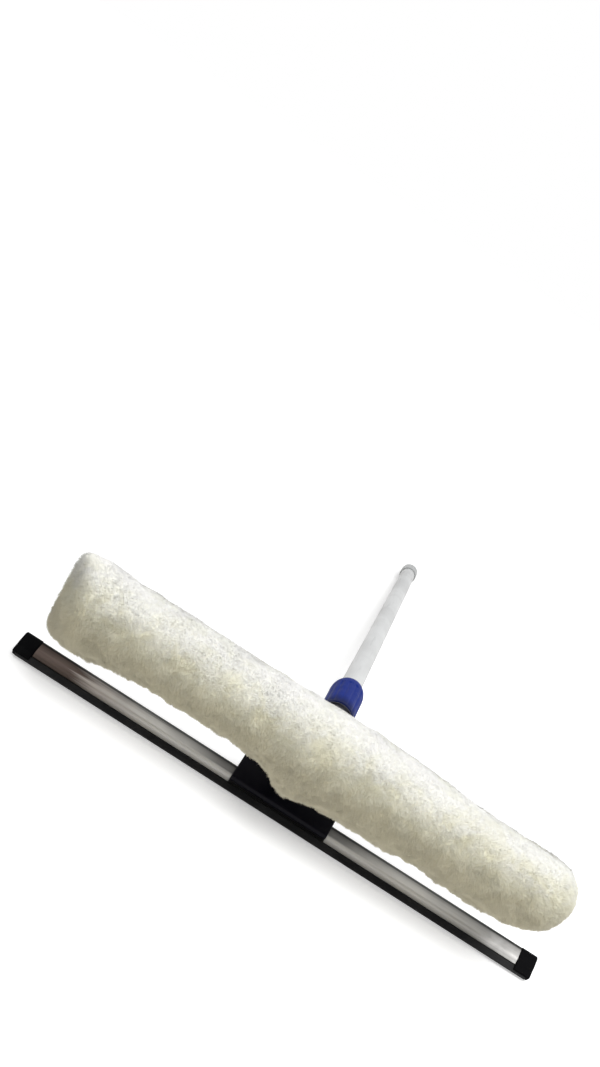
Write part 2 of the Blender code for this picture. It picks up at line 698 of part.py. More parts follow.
def open_end_ovals():
    """The end that opens, on the left: pressed flat from front to back, full height, round corners."""
    reach = sleeve_reach(SLEEVE_END_OPEN)
    pressed = SLEEVE_RADIUS - SLEEVE_FLAT_HALF
    ovals = []
    for share in (0.0, 0.2, 0.4, 0.6, 0.75, 0.88, 0.96, 1.0):
        half_depth = SLEEVE_FLAT_HALF + pressed * math.cos(math.radians(90.0) * share)
        past_corner = max(SLEEVE_FLAT_LENGTH * (share - 1.0) / SLEEVE_FLAT_CORNER + 1.0, 0.0)
        half_height = SLEEVE_RADIUS - SLEEVE_FLAT_CORNER * (1.0 - math.sqrt(1.0 - past_corner ** 2))
        ovals.append((-reach + SLEEVE_FLAT_LENGTH * (1.0 - share), half_depth, half_height))
    return ovals


def sleeve_reach(end_fleece):
    return T_BAR_LENGTH / 2 + PLUG_DOME + end_fleece


def washer_sleeve():
    """Plain fleece tube: hollow for the T-bar, open behind for the saddle, slit at its left end."""
    sleeve = oval_loft("washer_sleeve", list(reversed(open_end_ovals())) + closed_end_ovals())
    room = T_BAR_RADIUS + TOUCH_GAP
    dome = arc((0.0, 0.0), 1.0, 0.0, math.radians(90.0), DOME_STEPS)
    half = T_BAR_LENGTH / 2 + TOUCH_GAP
    right_end = [(room * first, half + (PLUG_DOME + TOUCH_GAP) * second) for first, second in dome]
    left_end = [(radius, -along) for radius, along in reversed(right_end)]
    cut(sleeve, lay_along_x(turned("room", left_end + right_end, closed=False)))
    slot_half = SADDLE_WIDTH / 2 + SLEEVE_SLOT_SPARE
    slot_high = SADDLE_BACK * math.sin(SADDLE_HALF_ANGLE) + SLEEVE_SLOT_SPARE
    slot = prism("slot", rounded_box((-slot_half, slot_half), (-slot_high, slot_high), SLEEVE_SLOT_CORNER),
                 T_BAR_RADIUS * 0.6, SLEEVE_RADIUS + CUT_PAST, "Y")
    cut(sleeve, slot)
    slit_half = TAPE_THICKNESS + 1.5 * TOUCH_GAP
    slit_high = TAPE_WIDTH / 2 + TOUCH_GAP
    slit = prism("slit", rounded_box((-slit_half, slit_half), (-slit_high, slit_high), RIB_CORNER, 1),
                 -sleeve_reach(SLEEVE_END_OPEN) - CUT_PAST, -half - PLUG_DOME * 0.3, "X")
    cut(sleeve, slit)
    return sleeve


def closure_tape(name, side):
    """Hook or loop tape that closes the sleeve's left end."""
    near = TOUCH_GAP / 2
    outline = rounded_box((near, near + TAPE_THICKNESS), (-TAPE_WIDTH / 2, TAPE_WIDTH / 2), RIB_CORNER, 1)
    tape = prism(name, outline, -TAPE_LENGTH / 2, TAPE_LENGTH / 2, "X")
    if side < 0:
        tape.data.transform(Matrix.Scale(-1.0, 4, Vector((0.0, 1.0, 0.0))))
        tape.data.flip_normals()
    return tape


# Lock.

def grip_collet():
    """Split ring with slit fingers: it bears on the socket's mouth, and the nut's cone closes it."""
    inner = POLE_RADIUS + RUN_GAP
    ring = turned("grip_collet", [(inner, 0.0), (COLLET_OUTER, 0.0), (COLLET_OUTER, COLLET_BASE),
                                  (COLLET_OUTER - COLLET_TAPER, COLLET_LENGTH), (inner, COLLET_LENGTH)])
    outline = rounded_box((-COLLET_SLIT / 2, COLLET_SLIT / 2), (0.0, 2 * COLLET_OUTER), RIB_CORNER, 1)
    for number in range(COLLET_SLITS):
        low = -CUT_PAST if number == 0 else COLLET_LENGTH * 0.35
        slit = prism("slit", outline, low, COLLET_LENGTH + CUT_PAST, "Y")
        cut(ring, place_mesh(slit, Matrix.Rotation(math.tau * number / COLLET_SLITS, 4, "Y")))
    return ring


def ring_skin(name, rings, steps):
    """A closed tube of (distance along Y, radius at an angle) rings, the last joined to the first."""
    builder = bmesh.new()
    rows = []
    for along, radius_at in rings:
        row = []
        for step in range(steps):
            angle = math.tau * step / steps
            radius = radius_at(angle)
            row.append(builder.verts.new((radius * math.cos(angle), along, radius * math.sin(angle))))
        rows.append(row)
    for index, row in enumerate(rows):
        following = rows[(index + 1) % len(rows)]
        for step in range(steps):
            after = (step + 1) % steps
            builder.faces.new((row[step], row[after], following[after], following[step]))
    return to_object(name, builder)


def fluted(radius, depth):
    """Radius at an angle, for a ring with round flutes of a given depth."""
    def at(angle):
        wave = 0.5 + 0.5 * math.cos(NUT_FLUTES * angle)
        return radius - depth * wave ** 2
    return at


def lock_nut(start):
    """Bell-shaped nut: fluted skirt over the socket, cone over the collet, mouth round the pole."""
    mouth_bore = POLE_RADIUS + THREAD_GAP
    seat = SOCKET_MOUTH + TOUCH_GAP - start
    cone_end = seat + COLLET_LENGTH + TOUCH_GAP
    length = cone_end + NUT_LIP_WALL
    dome_start = length - NUT_DOME
    lip_radius = mouth_bore + NUT_LIP_WALL
    full_radius = NUT_RADIUS + NUT_SWELL
    skirt = [(0.0, NUT_RADIUS - NUT_EDGE, 0.0), (NUT_EDGE, NUT_RADIUS, 0.0), (NUT_BAND, NUT_RADIUS, 0.0),
             (NUT_BAND + NUT_FLUTE_RUN, NUT_RADIUS, NUT_FLUTE_DEPTH),
             (dome_start - 2 * NUT_FLUTE_RUN, full_radius, NUT_FLUTE_DEPTH), (dome_start, full_radius, 0.0)]
    dome = []
    for step in range(1, NUT_DOME_STEPS + 1):
        angle = math.radians(90.0) * step / NUT_DOME_STEPS
        radius = lip_radius + (full_radius - lip_radius) * math.cos(angle)
        dome.append((dome_start + (NUT_DOME - NUT_LIP_EDGE) * math.sin(angle), radius, 0.0))
    inside = [(length, lip_radius - NUT_LIP_EDGE, 0.0), (length, mouth_bore, 0.0),
              (cone_end, mouth_bore, 0.0), (cone_end, COLLET_OUTER - COLLET_TAPER + TOUCH_GAP, 0.0),
              (seat + COLLET_BASE, COLLET_OUTER + TOUCH_GAP, 0.0),
              (seat - TOUCH_GAP, NUT_BORE, 0.0), (0.0, NUT_BORE, 0.0)]
    rings = [(along, fluted(radius, depth)) for along, radius, depth in skirt + dome + inside]
    return ring_skin("lock_nut", rings, NUT_FLUTES * FLUTE_STEPS)


# Pole.

def pole_tube():
    inner = POLE_RADIUS - POLE_WALL
    profile = [(POLE_RADIUS, 0.0), (POLE_RADIUS, POLE_LENGTH), (inner, POLE_LENGTH), (inner, 0.0)]
    return turned("pole_tube", profile)


def pole_front_plug():
    spigot = POLE_RADIUS - POLE_WALL - TOUCH_GAP
    cup = spigot - POLE_PLUG_WALL
    profile = [(0.0, -POLE_PLUG_FLANGE), (POLE_RADIUS - POLE_PLUG_EDGE, -POLE_PLUG_FLANGE),
               (POLE_RADIUS, POLE_PLUG_EDGE - POLE_PLUG_FLANGE), (POLE_RADIUS, 0.0), (spigot, 0.0),
               (spigot, POLE_PLUG_SPIGOT), (cup, POLE_PLUG_SPIGOT), (cup, POLE_PLUG_WALL),
               (0.0, POLE_PLUG_WALL)]
    return turned("pole_front_plug", profile, closed=False)


def pole_end_collar():
    """Cap over the pole's end, with a round hole for the hanging eye's stem."""
    inner = POLE_RADIUS + TOUCH_GAP
    outer = inner + COLLAR_WALL
    hole = EYE_STEM_RADIUS + TOUCH_GAP
    front = COLLAR_END - COLLAR_LENGTH
    profile = [(inner, front), (outer - COLLAR_LIP, front), (outer, front + COLLAR_LIP)]
    profile += arc((outer - COLLAR_EDGE, COLLAR_END - COLLAR_EDGE), COLLAR_EDGE, 0.0, math.pi / 2, 3)
    profile += [(hole, COLLAR_END), (hole, 0.0), (inner, 0.0)]
    return turned("pole_end_collar", profile)


def hanging_eye():
    """Flat eye with a hole to hang the tool by, on a stem that plugs into the pole's end."""
    half_width = EYE_WIDTH / 2
    tip_centre = EYE_LENGTH - half_width
    root = half_width * EYE_ROOT_SHARE
    outline = [(root, 0.0), (half_width, tip_centre / 2)]
    outline += arc((0.0, tip_centre), half_width, 0.0, math.pi, 16)
    outline += [(-half_width, tip_centre / 2), (-root, 0.0)]
    eye = prism("hanging_eye", outline, -EYE_THICKNESS / 2, EYE_THICKNESS / 2, "Z")
    bevel(eye, EYE_BEVEL, segments=3)
    stem = turned("stem", [(0.0, -EYE_STEM_LENGTH), (EYE_STEM_RADIUS, -EYE_STEM_LENGTH),
                           (EYE_STEM_RADIUS, EYE_STEM_ROOT), (0.0, EYE_STEM_ROOT)],
                  closed=False, steps=SMALL_STEPS)
    add(eye, stem)
    hole = prism("hole", arc((0.0, tip_centre), EYE_HOLE_RADIUS, 0.0, math.tau * 23 / 24, 23),
                 -EYE_THICKNESS, EYE_THICKNESS, "Z")
    cut(eye, hole)
    return eye


# Rest pose.

def side_points(items):
    """The (Y, Z) places of some objects' vertices in the tool's own frame, before it leans."""
    points = []
    for item in items:
        points += [(item.matrix_world @ vertex.co).yz for vertex in item.data.vertices]
    return points


def lowest(points, lean):
    return min(-point[0] * math.sin(lean) + point[1] * math.cos(lean) for point in points)


def resting_lean(front, back):
    """Angle at which the front and the back points are equally low."""
    low, high = 0.0, math.radians(45.0)
    for _ in range(60):
        middle = (low + high) / 2
        if lowest(front, middle) < lowest(back, middle):
            low = middle
        else:
            high = middle
    return (low + high) / 2


def lay_on_floor(tool, items, front_items, back_items):
    """Leans the tool onto its blade and its pole's end, and centres its box over the origin."""
    bpy.context.view_layer.update()
    lean = resting_lean(side_points(front_items), side_points(back_items))
    tool.rotation_euler = (-lean, 0.0, 0.0)
    bpy.context.view_layer.update()
    corners = side_points(items)
    lengthwise = [corner[0] for corner in corners]
    heights = [corner[1] for corner in corners]
    tool.location = (0.0, -(min(lengthwise) + max(lengthwise)) / 2, -min(heights))
    bpy.context.view_layer.update()
    return lean


def build():
    clear_scene()
    metal = material("channel_metal", (0.62, 0.60, 0.57), 1.0, 0.28)
    rubber = material("blade_rubber", (0.012, 0.012, 0.013), 0.0, 0.55)
    black = material("black_plastic", (0.012, 0.012, 0.018), 0.0, 0.42)
    steel = material("screw_steel", (0.55, 0.55, 0.56), 1.0, 0.30)
    brass = material("insert_brass", (0.72, 0.52, 0.22), 1.0, 0.30)
    grey_bar = material("bar_plastic", (0.30, 0.32, 0.34), 0.0, 0.45)
    fleece = material("cream_fleece", (0.86, 0.85, 0.76), 0.0, 0.95)
    tape = material("closure_tape", (0.80, 0.80, 0.78), 0.0, 0.9)
    blue = material("blue_plastic", (0.030, 0.050, 0.260), 0.0, 0.30)
    white = material("collet_plastic", (0.75, 0.75, 0.74), 0.0, 0.40)
    pole_grey = material("pole_grey", (0.62, 0.63, 0.63), 0.0, 0.35)
    eye_grey = material("eye_grey", (0.25, 0.26, 0.27), 0.0, 0.45)

    tool = empty("tool")
    squeegee = empty("squeegee", tool, (0.0, SQUEEGEE_SETBACK, -SQUEEGEE_DROP), BLADE_ANGLE)
    plane = Matrix.Translation(squeegee.location) @ Matrix.Rotation(BLADE_ANGLE, 4, "X")
    pole = empty("pole", tool, (0.0, POLE_FRONT, 0.0))
    items = []

    channel = finish(squeegee_channel(), metal, squeegee)
    blade = finish(rubber_blade(), rubber, squeegee)
    clips = [finish(end_clip("end_clip_" + word, side), black, squeegee)
             for word, side in (("left", -1), ("right", 1))]
    plate = finish(clamp_plate(), black, squeegee)
    items += [channel, blade, plate, *clips]

    screw_seat = -HALF_THICKNESS - TOUCH_GAP - PLATE_THICKNESS - TOUCH_GAP
    screw_length = JAW_BLOCK_LOW + INSERT_LENGTH + SCREW_PAST_INSERT - screw_seat
    for word, side in (("left", -1), ("right", 1)):
        across = side * CLAMP_SCREW_SPACING / 2
        screw = pan_screw("clamp_screw_" + word, CLAMP_HEAD_RADIUS, CLAMP_HEAD_HEIGHT,
                          CLAMP_SCREW_RADIUS, screw_length)
        place_mesh(screw, Matrix.Rotation(math.radians(-90.0), 4, "X"))
        items.append(finish(screw, steel, squeegee, (across, CLAMP_SCREW_P, screw_seat)))
        bush = clamp_insert("clamp_insert_" + word)
        items.append(finish(bush, brass, squeegee, (across, CLAMP_SCREW_P, JAW_BLOCK_LOW + TOUCH_GAP)))
        fixing = pan_screw("t_bar_screw_" + word, T_BAR_HEAD_RADIUS, T_BAR_HEAD_HEIGHT,
                           T_BAR_SCREW_RADIUS, T_BAR_SCREW_LENGTH)
        fixing_place = (side * T_BAR_SCREW_SPACING / 2, SADDLE_BACK + TOUCH_GAP, 0.0)
        items.append(finish(fixing, steel, tool, fixing_place))
        plug = t_bar_plug("t_bar_plug_" + word, side)
        items.append(finish(plug, grey_bar, tool, (side * T_BAR_LENGTH / 2, 0.0, 0.0)))

    items.append(finish(head_frame(plane), black, tool))
    items.append(finish(t_bar(), grey_bar, tool))
    items.append(finish(washer_sleeve(), fleece, tool))
    tape_place = (-sleeve_reach(SLEEVE_END_OPEN) + TAPE_LENGTH / 2 + TOUCH_GAP, 0.0, 0.0)
    items.append(finish(closure_tape("closure_hook_tape", -1), tape, tool, tape_place))
    items.append(finish(closure_tape("closure_loop_tape", 1), tape, tool, tape_place))

    collet_place = (0.0, SOCKET_MOUTH + TOUCH_GAP, 0.0)
    items.append(finish(grip_collet(), white, tool, collet_place))
    items.append(finish(lock_nut(NUT_START), blue, tool, (0.0, NUT_START, 0.0)))

    items.append(finish(pole_tube(), pole_grey, pole))
    items.append(finish(pole_front_plug(), eye_grey, pole, (0.0, -TOUCH_GAP, 0.0)))
    collar = finish(pole_end_collar(), pole_grey, pole, (0.0, POLE_LENGTH + TOUCH_GAP, 0.0))
    items.append(collar)
    eye_place = (0.0, POLE_LENGTH + 2 * TOUCH_GAP + COLLAR_END, 0.0)
    items.append(finish(hanging_eye(), eye_grey, pole, eye_place))

    lean = lay_on_floor(tool, items, [blade, *clips], [collar])
    axis = tool.matrix_world.to_3x3() @ Vector((0.0, 1.0, 0.0))
    print("lean in degrees", round(math.degrees(lean), 4))
    print("tool origin", [round(value, 6) for value in tool.location])
    print("pole axis", [round(value, 6) for value in axis])


build()
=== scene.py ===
import json
import math

import bpy
import numpy as np
from mathutils import Matrix, Vector


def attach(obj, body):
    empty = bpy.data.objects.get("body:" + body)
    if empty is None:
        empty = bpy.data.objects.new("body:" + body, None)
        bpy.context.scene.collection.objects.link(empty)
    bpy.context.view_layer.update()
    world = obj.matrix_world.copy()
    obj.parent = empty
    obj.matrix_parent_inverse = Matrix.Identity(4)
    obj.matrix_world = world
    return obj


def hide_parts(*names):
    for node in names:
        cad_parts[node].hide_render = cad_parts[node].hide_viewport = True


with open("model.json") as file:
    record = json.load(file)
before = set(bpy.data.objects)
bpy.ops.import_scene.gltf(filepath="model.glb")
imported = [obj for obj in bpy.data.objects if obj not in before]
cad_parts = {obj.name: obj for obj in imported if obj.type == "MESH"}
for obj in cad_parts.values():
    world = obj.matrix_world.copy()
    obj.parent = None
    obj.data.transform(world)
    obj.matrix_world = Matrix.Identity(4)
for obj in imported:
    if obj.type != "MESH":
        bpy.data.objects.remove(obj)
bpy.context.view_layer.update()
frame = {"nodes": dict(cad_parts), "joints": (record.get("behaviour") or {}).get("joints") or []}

nodes = frame["nodes"]
mm = 0.001

# The tool's own frame: X along the blade, Y back along the pole, Z up through the T-bar.
nutTurn = next(joint for joint in frame["joints"] if joint["name"] == "nut_turn")
nutPlace = 0.069         # the lock nut's front end, along the pole from the T-bar's centre
toolX = Vector((1.0, 0.0, 0.0))
toolY = Vector(nutTurn["axis"]).normalized()
toolZ = toolX.cross(toolY)
toolOrigin = Vector(nutTurn["pos_m"]) - nutPlace * toolY
toolTurn = Matrix((toolX, toolY, toolZ)).transposed()


# Points in the tool's frame, one to a row, carried to where the tool lies.
def placed(points):
    return points @ np.array(toolTurn).T + np.array(toolOrigin)


# Small helpers for arrays and meshes.

# A smooth random field from -1 to 1: random values on a cubic lattice, eased between its corners.
def softNoise(points, size, seed):
    scaled = points / size
    cell = np.floor(scaled).astype(np.int64)
    part = scaled - cell
    part = part * part * (3.0 - 2.0 * part)
    total = np.zeros(len(points))
    for corner in range(8):
        step = np.array([corner & 1, corner >> 1 & 1, corner >> 2 & 1])
        total += latticeValue(cell + step, seed) * np.prod(np.where(step, part, 1.0 - part), axis=1)
    return total


# The same random number each time for the same lattice corner and seed.
def latticeValue(cell, seed):
    mixed = (cell @ np.array([374761393, 668265263, 2147483629]) + seed * 1274126177) & 0xFFFFFFFF
    mixed = ((mixed ^ (mixed >> 13)) * 1274126177) & 0xFFFFFFFF
    return (mixed ^ (mixed >> 16)) / 2147483647.5 - 1.0


# Rises from 0 at low to 1 at high with no corner at either end.
def easeBetween(value, low, high):
    share = np.clip((value - low) / (high - low), 0.0, 1.0)
    return share * share * (3.0 - 2.0 * share)


# A mesh object from points in the tool's frame and faces of any size, given as one array for each size.
def meshPiece(name, points, faceArrays, look, body, values=None):
    mesh = bpy.data.meshes.new(name)
    corners = np.concatenate([faces.ravel() for faces in faceArrays]).astype(np.int32)
    counts = np.concatenate([np.full(len(faces), faces.shape[1]) for faces in faceArrays])
    mesh.vertices.add(len(points))
    mesh.vertices.foreach_set("co", placed(points).astype(np.float32).ravel())
    mesh.loops.add(len(corners))
    mesh.loops.foreach_set("vertex_index", corners)
    mesh.polygons.add(len(counts))
    mesh.polygons.foreach_set("loop_start", (np.cumsum(counts) - counts).astype(np.int32))
    mesh.polygons.foreach_set("use_smooth", np.ones(len(counts), bool))
    for key, found in (values or {}).items():
        mesh.attributes.new(key, "FLOAT", "POINT").data.foreach_set("value", found.astype(np.float32))
    mesh.update(calc_edges=True)
    mesh.validate()
    mesh.materials.append(look)
    piece = bpy.data.objects.new(name, mesh)
    bpy.context.scene.collection.objects.link(piece)
    if isinstance(body, str):
        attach(piece, body)
    else:
        piece.parent = body
    return piece


# Quads between the rows of a grid whose columns run round and close on themselves.
def ringQuads(rows, columns):
    row = np.arange(rows - 1)[:, None] * columns
    column = np.arange(columns)[None, :]
    after = (column + 1) % columns
    return np.stack([row + column, row + columns + column, row + columns + after, row + after], axis=-1)


# Shader groups. Each puts out only masks, heights, colours or normals.
def shaderGroup(name, inputs, outputs):
    group = bpy.data.node_groups.new(name, "ShaderNodeTree")
    for label, kind, value in inputs:
        socket = group.interface.new_socket(label, in_out="INPUT", socket_type=kind)
        socket.default_value = value
    for label, kind in outputs:
        group.interface.new_socket(label, in_out="OUTPUT", socket_type=kind)
    return group, group.nodes.new("NodeGroupInput"), group.nodes.new("NodeGroupOutput")


# A new node with its settings. The other words set or link its inputs, by name or, as at0, by number.
def addNode(tree, kind, settings=None, **links):
    node = tree.nodes.new(kind)
    for key, value in (settings or {}).items():
        setattr(node, key, value)
    for key, value in links.items():
        label = key.replace("_", " ")
        socket = node.inputs[int(label[2:])] if label.startswith("at") else node.inputs[label]
        if isinstance(value, bpy.types.NodeSocket):
            tree.links.new(value, socket)
        else:
            socket.default_value = value
    return node


# Object coordinates, squeezed by a scale.
def objectPoint(tree, scale=(1.0, 1.0, 1.0)):
    place = addNode(tree, "ShaderNodeTexCoord").outputs["Object"]
    return addNode(tree, "ShaderNodeMapping", Vector=place, Scale=scale).outputs["Vector"]


# How far a point lies along one of the tool's own directions, in mm from a given point.
def lengthAlong(tree, direction, start):
    axis = np.array(toolTurn) @ np.array(direction)
    place = addNode(tree, "ShaderNodeTexCoord").outputs["Object"]
    length = addNode(tree, "ShaderNodeVectorMath", {"operation": "DOT_PRODUCT"}, at0=place, at1=axis)
    offset = -float(np.dot(axis, placed(np.array([start]))[0])) / mm
    return addNode(tree, "ShaderNodeMath", {"operation": "MULTIPLY_ADD"}, at0=length.outputs["Value"],
                   at1=1.0 / mm, at2=offset).outputs[0]


# Fine even grain, as on moulded plastic: a height, and a mask of its high spots.
def makeGrain():
    group, start, end = shaderGroup("fine grain", [("Size", "NodeSocketFloat", 1.0)],
                                    [("Height", "NodeSocketFloat"), ("High spots", "NodeSocketFloat")])
    per = addNode(group, "ShaderNodeMath", {"operation": "DIVIDE"}, at0=1000.0, at1=start.outputs["Size"])
    noise = addNode(group, "ShaderNodeTexNoise", Vector=objectPoint(group), Scale=per.outputs[0],
                    Detail=4.0, Roughness=0.6)
    spots = addNode(group, "ShaderNodeMapRange", Value=noise.outputs["Fac"], at1=0.52, at2=0.72)
    group.links.new(noise.outputs["Fac"], end.inputs["Height"])
    group.links.new(spots.outputs["Result"], end.inputs["High spots"])
    return group


# Long fine lines along X or Y, as rolling and handling leave on metal and paint.
def makeLines(name, scale):
    group, start, end = shaderGroup(name, [("Size", "NodeSocketFloat", 1.0)],
                                    [("Height", "NodeSocketFloat"), ("Scratches", "NodeSocketFloat")])
    per = addNode(group, "ShaderNodeMath", {"operation": "DIVIDE"}, at0=1000.0, at1=start.outputs["Size"])
    place = objectPoint(group, scale)
    fine = addNode(group, "ShaderNodeTexNoise", Vector=place, Scale=per.outputs[0], Detail=5.0, Roughness=0.65)
    few = addNode(group, "ShaderNodeTexNoise", Vector=place, Scale=260.0, Detail=2.0, Roughness=0.5)
    sharp = addNode(group, "ShaderNodeMapRange", Value=few.outputs["Fac"], at1=0.66, at2=0.72)
    group.links.new(fine.outputs["Fac"], end.inputs["Height"])
    group.links.new(sharp.outputs["Result"], end.inputs["Scratches"])
    return group


# Broad soft patches where hands and water have dulled a surface.
def makeSmudge():
    group, start, end = shaderGroup("handling smudge", [("Size", "NodeSocketFloat", 30.0)],
                                    [("Mask", "NodeSocketFloat")])
    per = addNode(group, "ShaderNodeMath", {"operation": "DIVIDE"}, at0=1000.0, at1=start.outputs["Size"])
    noise = addNode(group, "ShaderNodeTexNoise", Vector=objectPoint(group), Scale=per.outputs[0],
                    Detail=3.0, Roughness=0.55, Distortion=0.6)
    patch = addNode(group, "ShaderNodeMapRange", {"interpolation_type": "SMOOTHSTEP"},
                    Value=noise.outputs["Fac"], at1=0.38, at2=0.68)
    group.links.new(patch.outputs["Result"], end.inputs["Mask"])
    return group


# Rounded edges as a normal, and a mask of those edges from how far that normal turns from the face's own.
def makeEdge():
    inputs = [("Radius", "NodeSocketFloat", 0.5), ("Wear", "NodeSocketFloat", 0.5)]
    group, start, end = shaderGroup("worn edge", inputs,
                                    [("Normal", "NodeSocketVector"), ("Mask", "NodeSocketFloat")])
    wide = addNode(group, "ShaderNodeMath", {"operation": "MULTIPLY"}, at0=start.outputs["Radius"], at1=mm)
    bevel = addNode(group, "ShaderNodeBevel", {"samples": 6}, Radius=wide.outputs[0])
    own = addNode(group, "ShaderNodeNewGeometry")
    match = addNode(group, "ShaderNodeVectorMath", {"operation": "DOT_PRODUCT"},
                    at0=bevel.outputs["Normal"], at1=own.outputs["Normal"])
    turned = addNode(group, "ShaderNodeMapRange", Value=match.outputs["Value"], at1=0.995, at2=0.88)
    noise = addNode(group, "ShaderNodeTexNoise", Vector=objectPoint(group), Scale=420.0, Detail=3.0)
    broken = addNode(group, "ShaderNodeMapRange", Value=noise.outputs["Fac"], at1=0.40, at2=0.60)
    both = addNode(group, "ShaderNodeMath", {"operation": "MULTIPLY"},
                   at0=turned.outputs["Result"], at1=broken.outputs["Result"])
    worn = addNode(group, "ShaderNodeMath", {"operation": "MULTIPLY"},
                   at0=both.outputs[0], at1=start.outputs["Wear"])
    group.links.new(bevel.outputs["Normal"], end.inputs["Normal"])
    group.links.new(worn.outputs[0], end.inputs["Mask"])
    return group


fineGrain = makeGrain()
linesAlongX = makeLines("lines along the blade", (0.02, 1.0, 1.0))
linesAlongY = makeLines("lines along the pole", (1.0, 0.03, 1.0))
softSmudge = makeSmudge()
wornEdge = makeEdge()


# An empty material, with its shader joined to its output.
def newLook(name):
    look = bpy.data.materials.new(name)
    look.use_nodes = True
    tree = look.node_tree
    tree.nodes.clear()
    shader = tree.nodes.new("ShaderNodeBsdfPrincipled")
    end = tree.nodes.new("ShaderNodeOutputMaterial")
    tree.links.new(shader.outputs["BSDF"], end.inputs["Surface"])
    return look, tree, shader


def groupNode(tree, group, **values):
    node = tree.nodes.new("ShaderNodeGroup")
    node.node_tree = group
    for key, value in values.items():
        node.inputs[key].default_value = value
    return node


def mixColour(tree, mask, low, high):
    mix = addNode(tree, "ShaderNodeMix", {"data_type": "RGBA"})
    tree.links.new(mask, mix.inputs[0])
    for socket, value in ((mix.inputs[6], low), (mix.inputs[7], high)):
        if isinstance(value, bpy.types.NodeSocket):
            tree.links.new(value, socket)
        else:
            socket.default_value = (*value, 1.0)
    return mix.outputs[2]


def rangeOf(tree, mask, low, high):
    return addNode(tree, "ShaderNodeMapRange", Value=mask, at3=low, at4=high).outputs["Result"]


def timesColour(tree, colour, factor):
    both = addNode(tree, "ShaderNodeMix", {"data_type": "RGBA", "blend_type": "MULTIPLY"}, at0=1.0)
    tree.links.new(colour, both.inputs[6])
    tree.links.new(factor, both.inputs[7])
    return both.outputs[2]


# A value read off a list of (place, value) pairs, straight between them, as a grey colour.
def listed(tree, place, pairs):
    low, high = pairs[0][0], pairs[-1][0]
    share = addNode(tree, "ShaderNodeMapRange", Value=place, at1=low, at2=high).outputs["Result"]
    ramp = addNode(tree, "ShaderNodeValToRGB", Fac=share)
    stops = ramp.color_ramp.elements
    for at, value in pairs[1:-1]:
        stops.new((at - low) / (high - low))
    for stop, (at, value) in zip(stops, pairs):
        stop.color = (*value, 1.0) if isinstance(value, tuple) else (value, value, value, 1.0)
    return ramp.outputs["Color"]


# A hard surface: base colour with smudges, worn edges and a fine height, all from one dictionary, and where given a
# painted shade laid over the colour last.
def hardLook(name, values, lines=None, paintedShade=None):
    look, tree, shader = newLook(name)
    edge = groupNode(tree, wornEdge, Radius=values["edgeRadius"], Wear=values["edgeWear"])
    smudge = groupNode(tree, softSmudge, Size=values["smudgeSize"])
    texture = groupNode(tree, lines or fineGrain, Size=values["grainSize"])
    colour = mixColour(tree, smudge.outputs["Mask"], values["colour"], values["dulled"])
    if lines:
        colour = mixColour(tree, texture.outputs["Scratches"], colour, values["scratch"])
    colour = mixColour(tree, edge.outputs["Mask"], colour, values["worn"])
    # Painted shade, where given, darkens the finished colour.
    if paintedShade:
        colour = paintedShade(tree, colour)
    tree.links.new(colour, shader.inputs["Base Color"])
    rough = rangeOf(tree, smudge.outputs["Mask"], values["roughness"], values["roughnessDulled"])
    tree.links.new(rough, shader.inputs["Roughness"])
    bump = addNode(tree, "ShaderNodeBump", Height=texture.outputs["Height"], Distance=values["grainDepth"] * mm,
                   Normal=edge.outputs["Normal"])
    tree.links.new(bump.outputs["Normal"], shader.inputs["Normal"])
    shader.inputs["Metallic"].default_value = values.get("metallic", 0.0)
    shader.inputs["Specular IOR Level"].default_value = values.get("shine", 0.5)
    return look


steelValues = {"colour": (0.92, 0.905, 0.88), "dulled": (0.80, 0.785, 0.76), "worn": (0.85, 0.84, 0.82),
               "scratch": (0.45, 0.44, 0.43), "edgeRadius": 0.25, "edgeWear": 0.5, "smudgeSize": 34.0,
               "grainSize": 0.9, "grainDepth": 0.006, "roughness": 0.46, "roughnessDulled": 0.56, "metallic": 1.0}
# Painted light on the channel, by mm: a painted highlight and dark reflections up its face from the lips to the
# spine, painted shadow under the clamp, painted shade out from it, and dark reflections painted at both ends of its
# length, the left one running out in streaks.
channelPaintedLight = {"centre": (0.0, 0.0325, -0.0672), "tilt": 35.0, "streakSize": 2.6, "streakShift": (-13.0, 47.0),
                 "besideFrom": (-2.9, -1.3),
                 "up": ((-8.0, 0.50), (-6.8, 0.64), (-5.7, 0.72), (-4.7, 0.95), (-3.8, 1.0), (-2.3, 1.0),
                        (0.2, 0.90), (2.7, 0.66), (4.0, 0.48), (4.9, 0.12), (5.5, 0.09), (6.2, 0.05),
                        (8.0, 0.03)),
                 "shadowUnderClamp": ((0.0, 0.05), (41.2, 0.05), (42.0, 1.0), (60.0, 1.0)),
                 "shadeBesideClamp": ((42.0, 0.30), (56.0, 0.38), (68.0, 0.58), (80.0, 0.76), (104.0, 1.0)),
                 "along": ((-190.0, (0.12, 0.093, 0.083)), (-160.0, (0.19, 0.15, 0.135)),
                           (-142.0, (0.76, 0.71, 0.69)), (-100.0, (1.0, 1.0, 1.0)), (140.0, (1.0, 1.0, 1.0)),
                           (175.0, (0.74, 0.74, 0.74)), (205.0, (0.46, 0.46, 0.46)), (235.0, (0.38, 0.38, 0.38)))}
rubberValues = {"colour": (0.016, 0.016, 0.017), "dulled": (0.030, 0.030, 0.031), "worn": (0.05, 0.05, 0.05),
                "edgeRadius": 0.2, "edgeWear": 0.4, "smudgeSize": 22.0, "grainSize": 0.5, "grainDepth": 0.01,
                "roughness": 0.55, "roughnessDulled": 0.75, "shine": 0.10}
clipValues = {"colour": (0.003, 0.003, 0.0035), "dulled": (0.005, 0.005, 0.0055), "worn": (0.015, 0.015, 0.016),
              "edgeRadius": 0.5, "edgeWear": 0.5, "smudgeSize": 12.0, "grainSize": 0.4, "grainDepth": 0.012,
              "roughness": 0.50, "roughnessDulled": 0.60, "shine": 0.02}
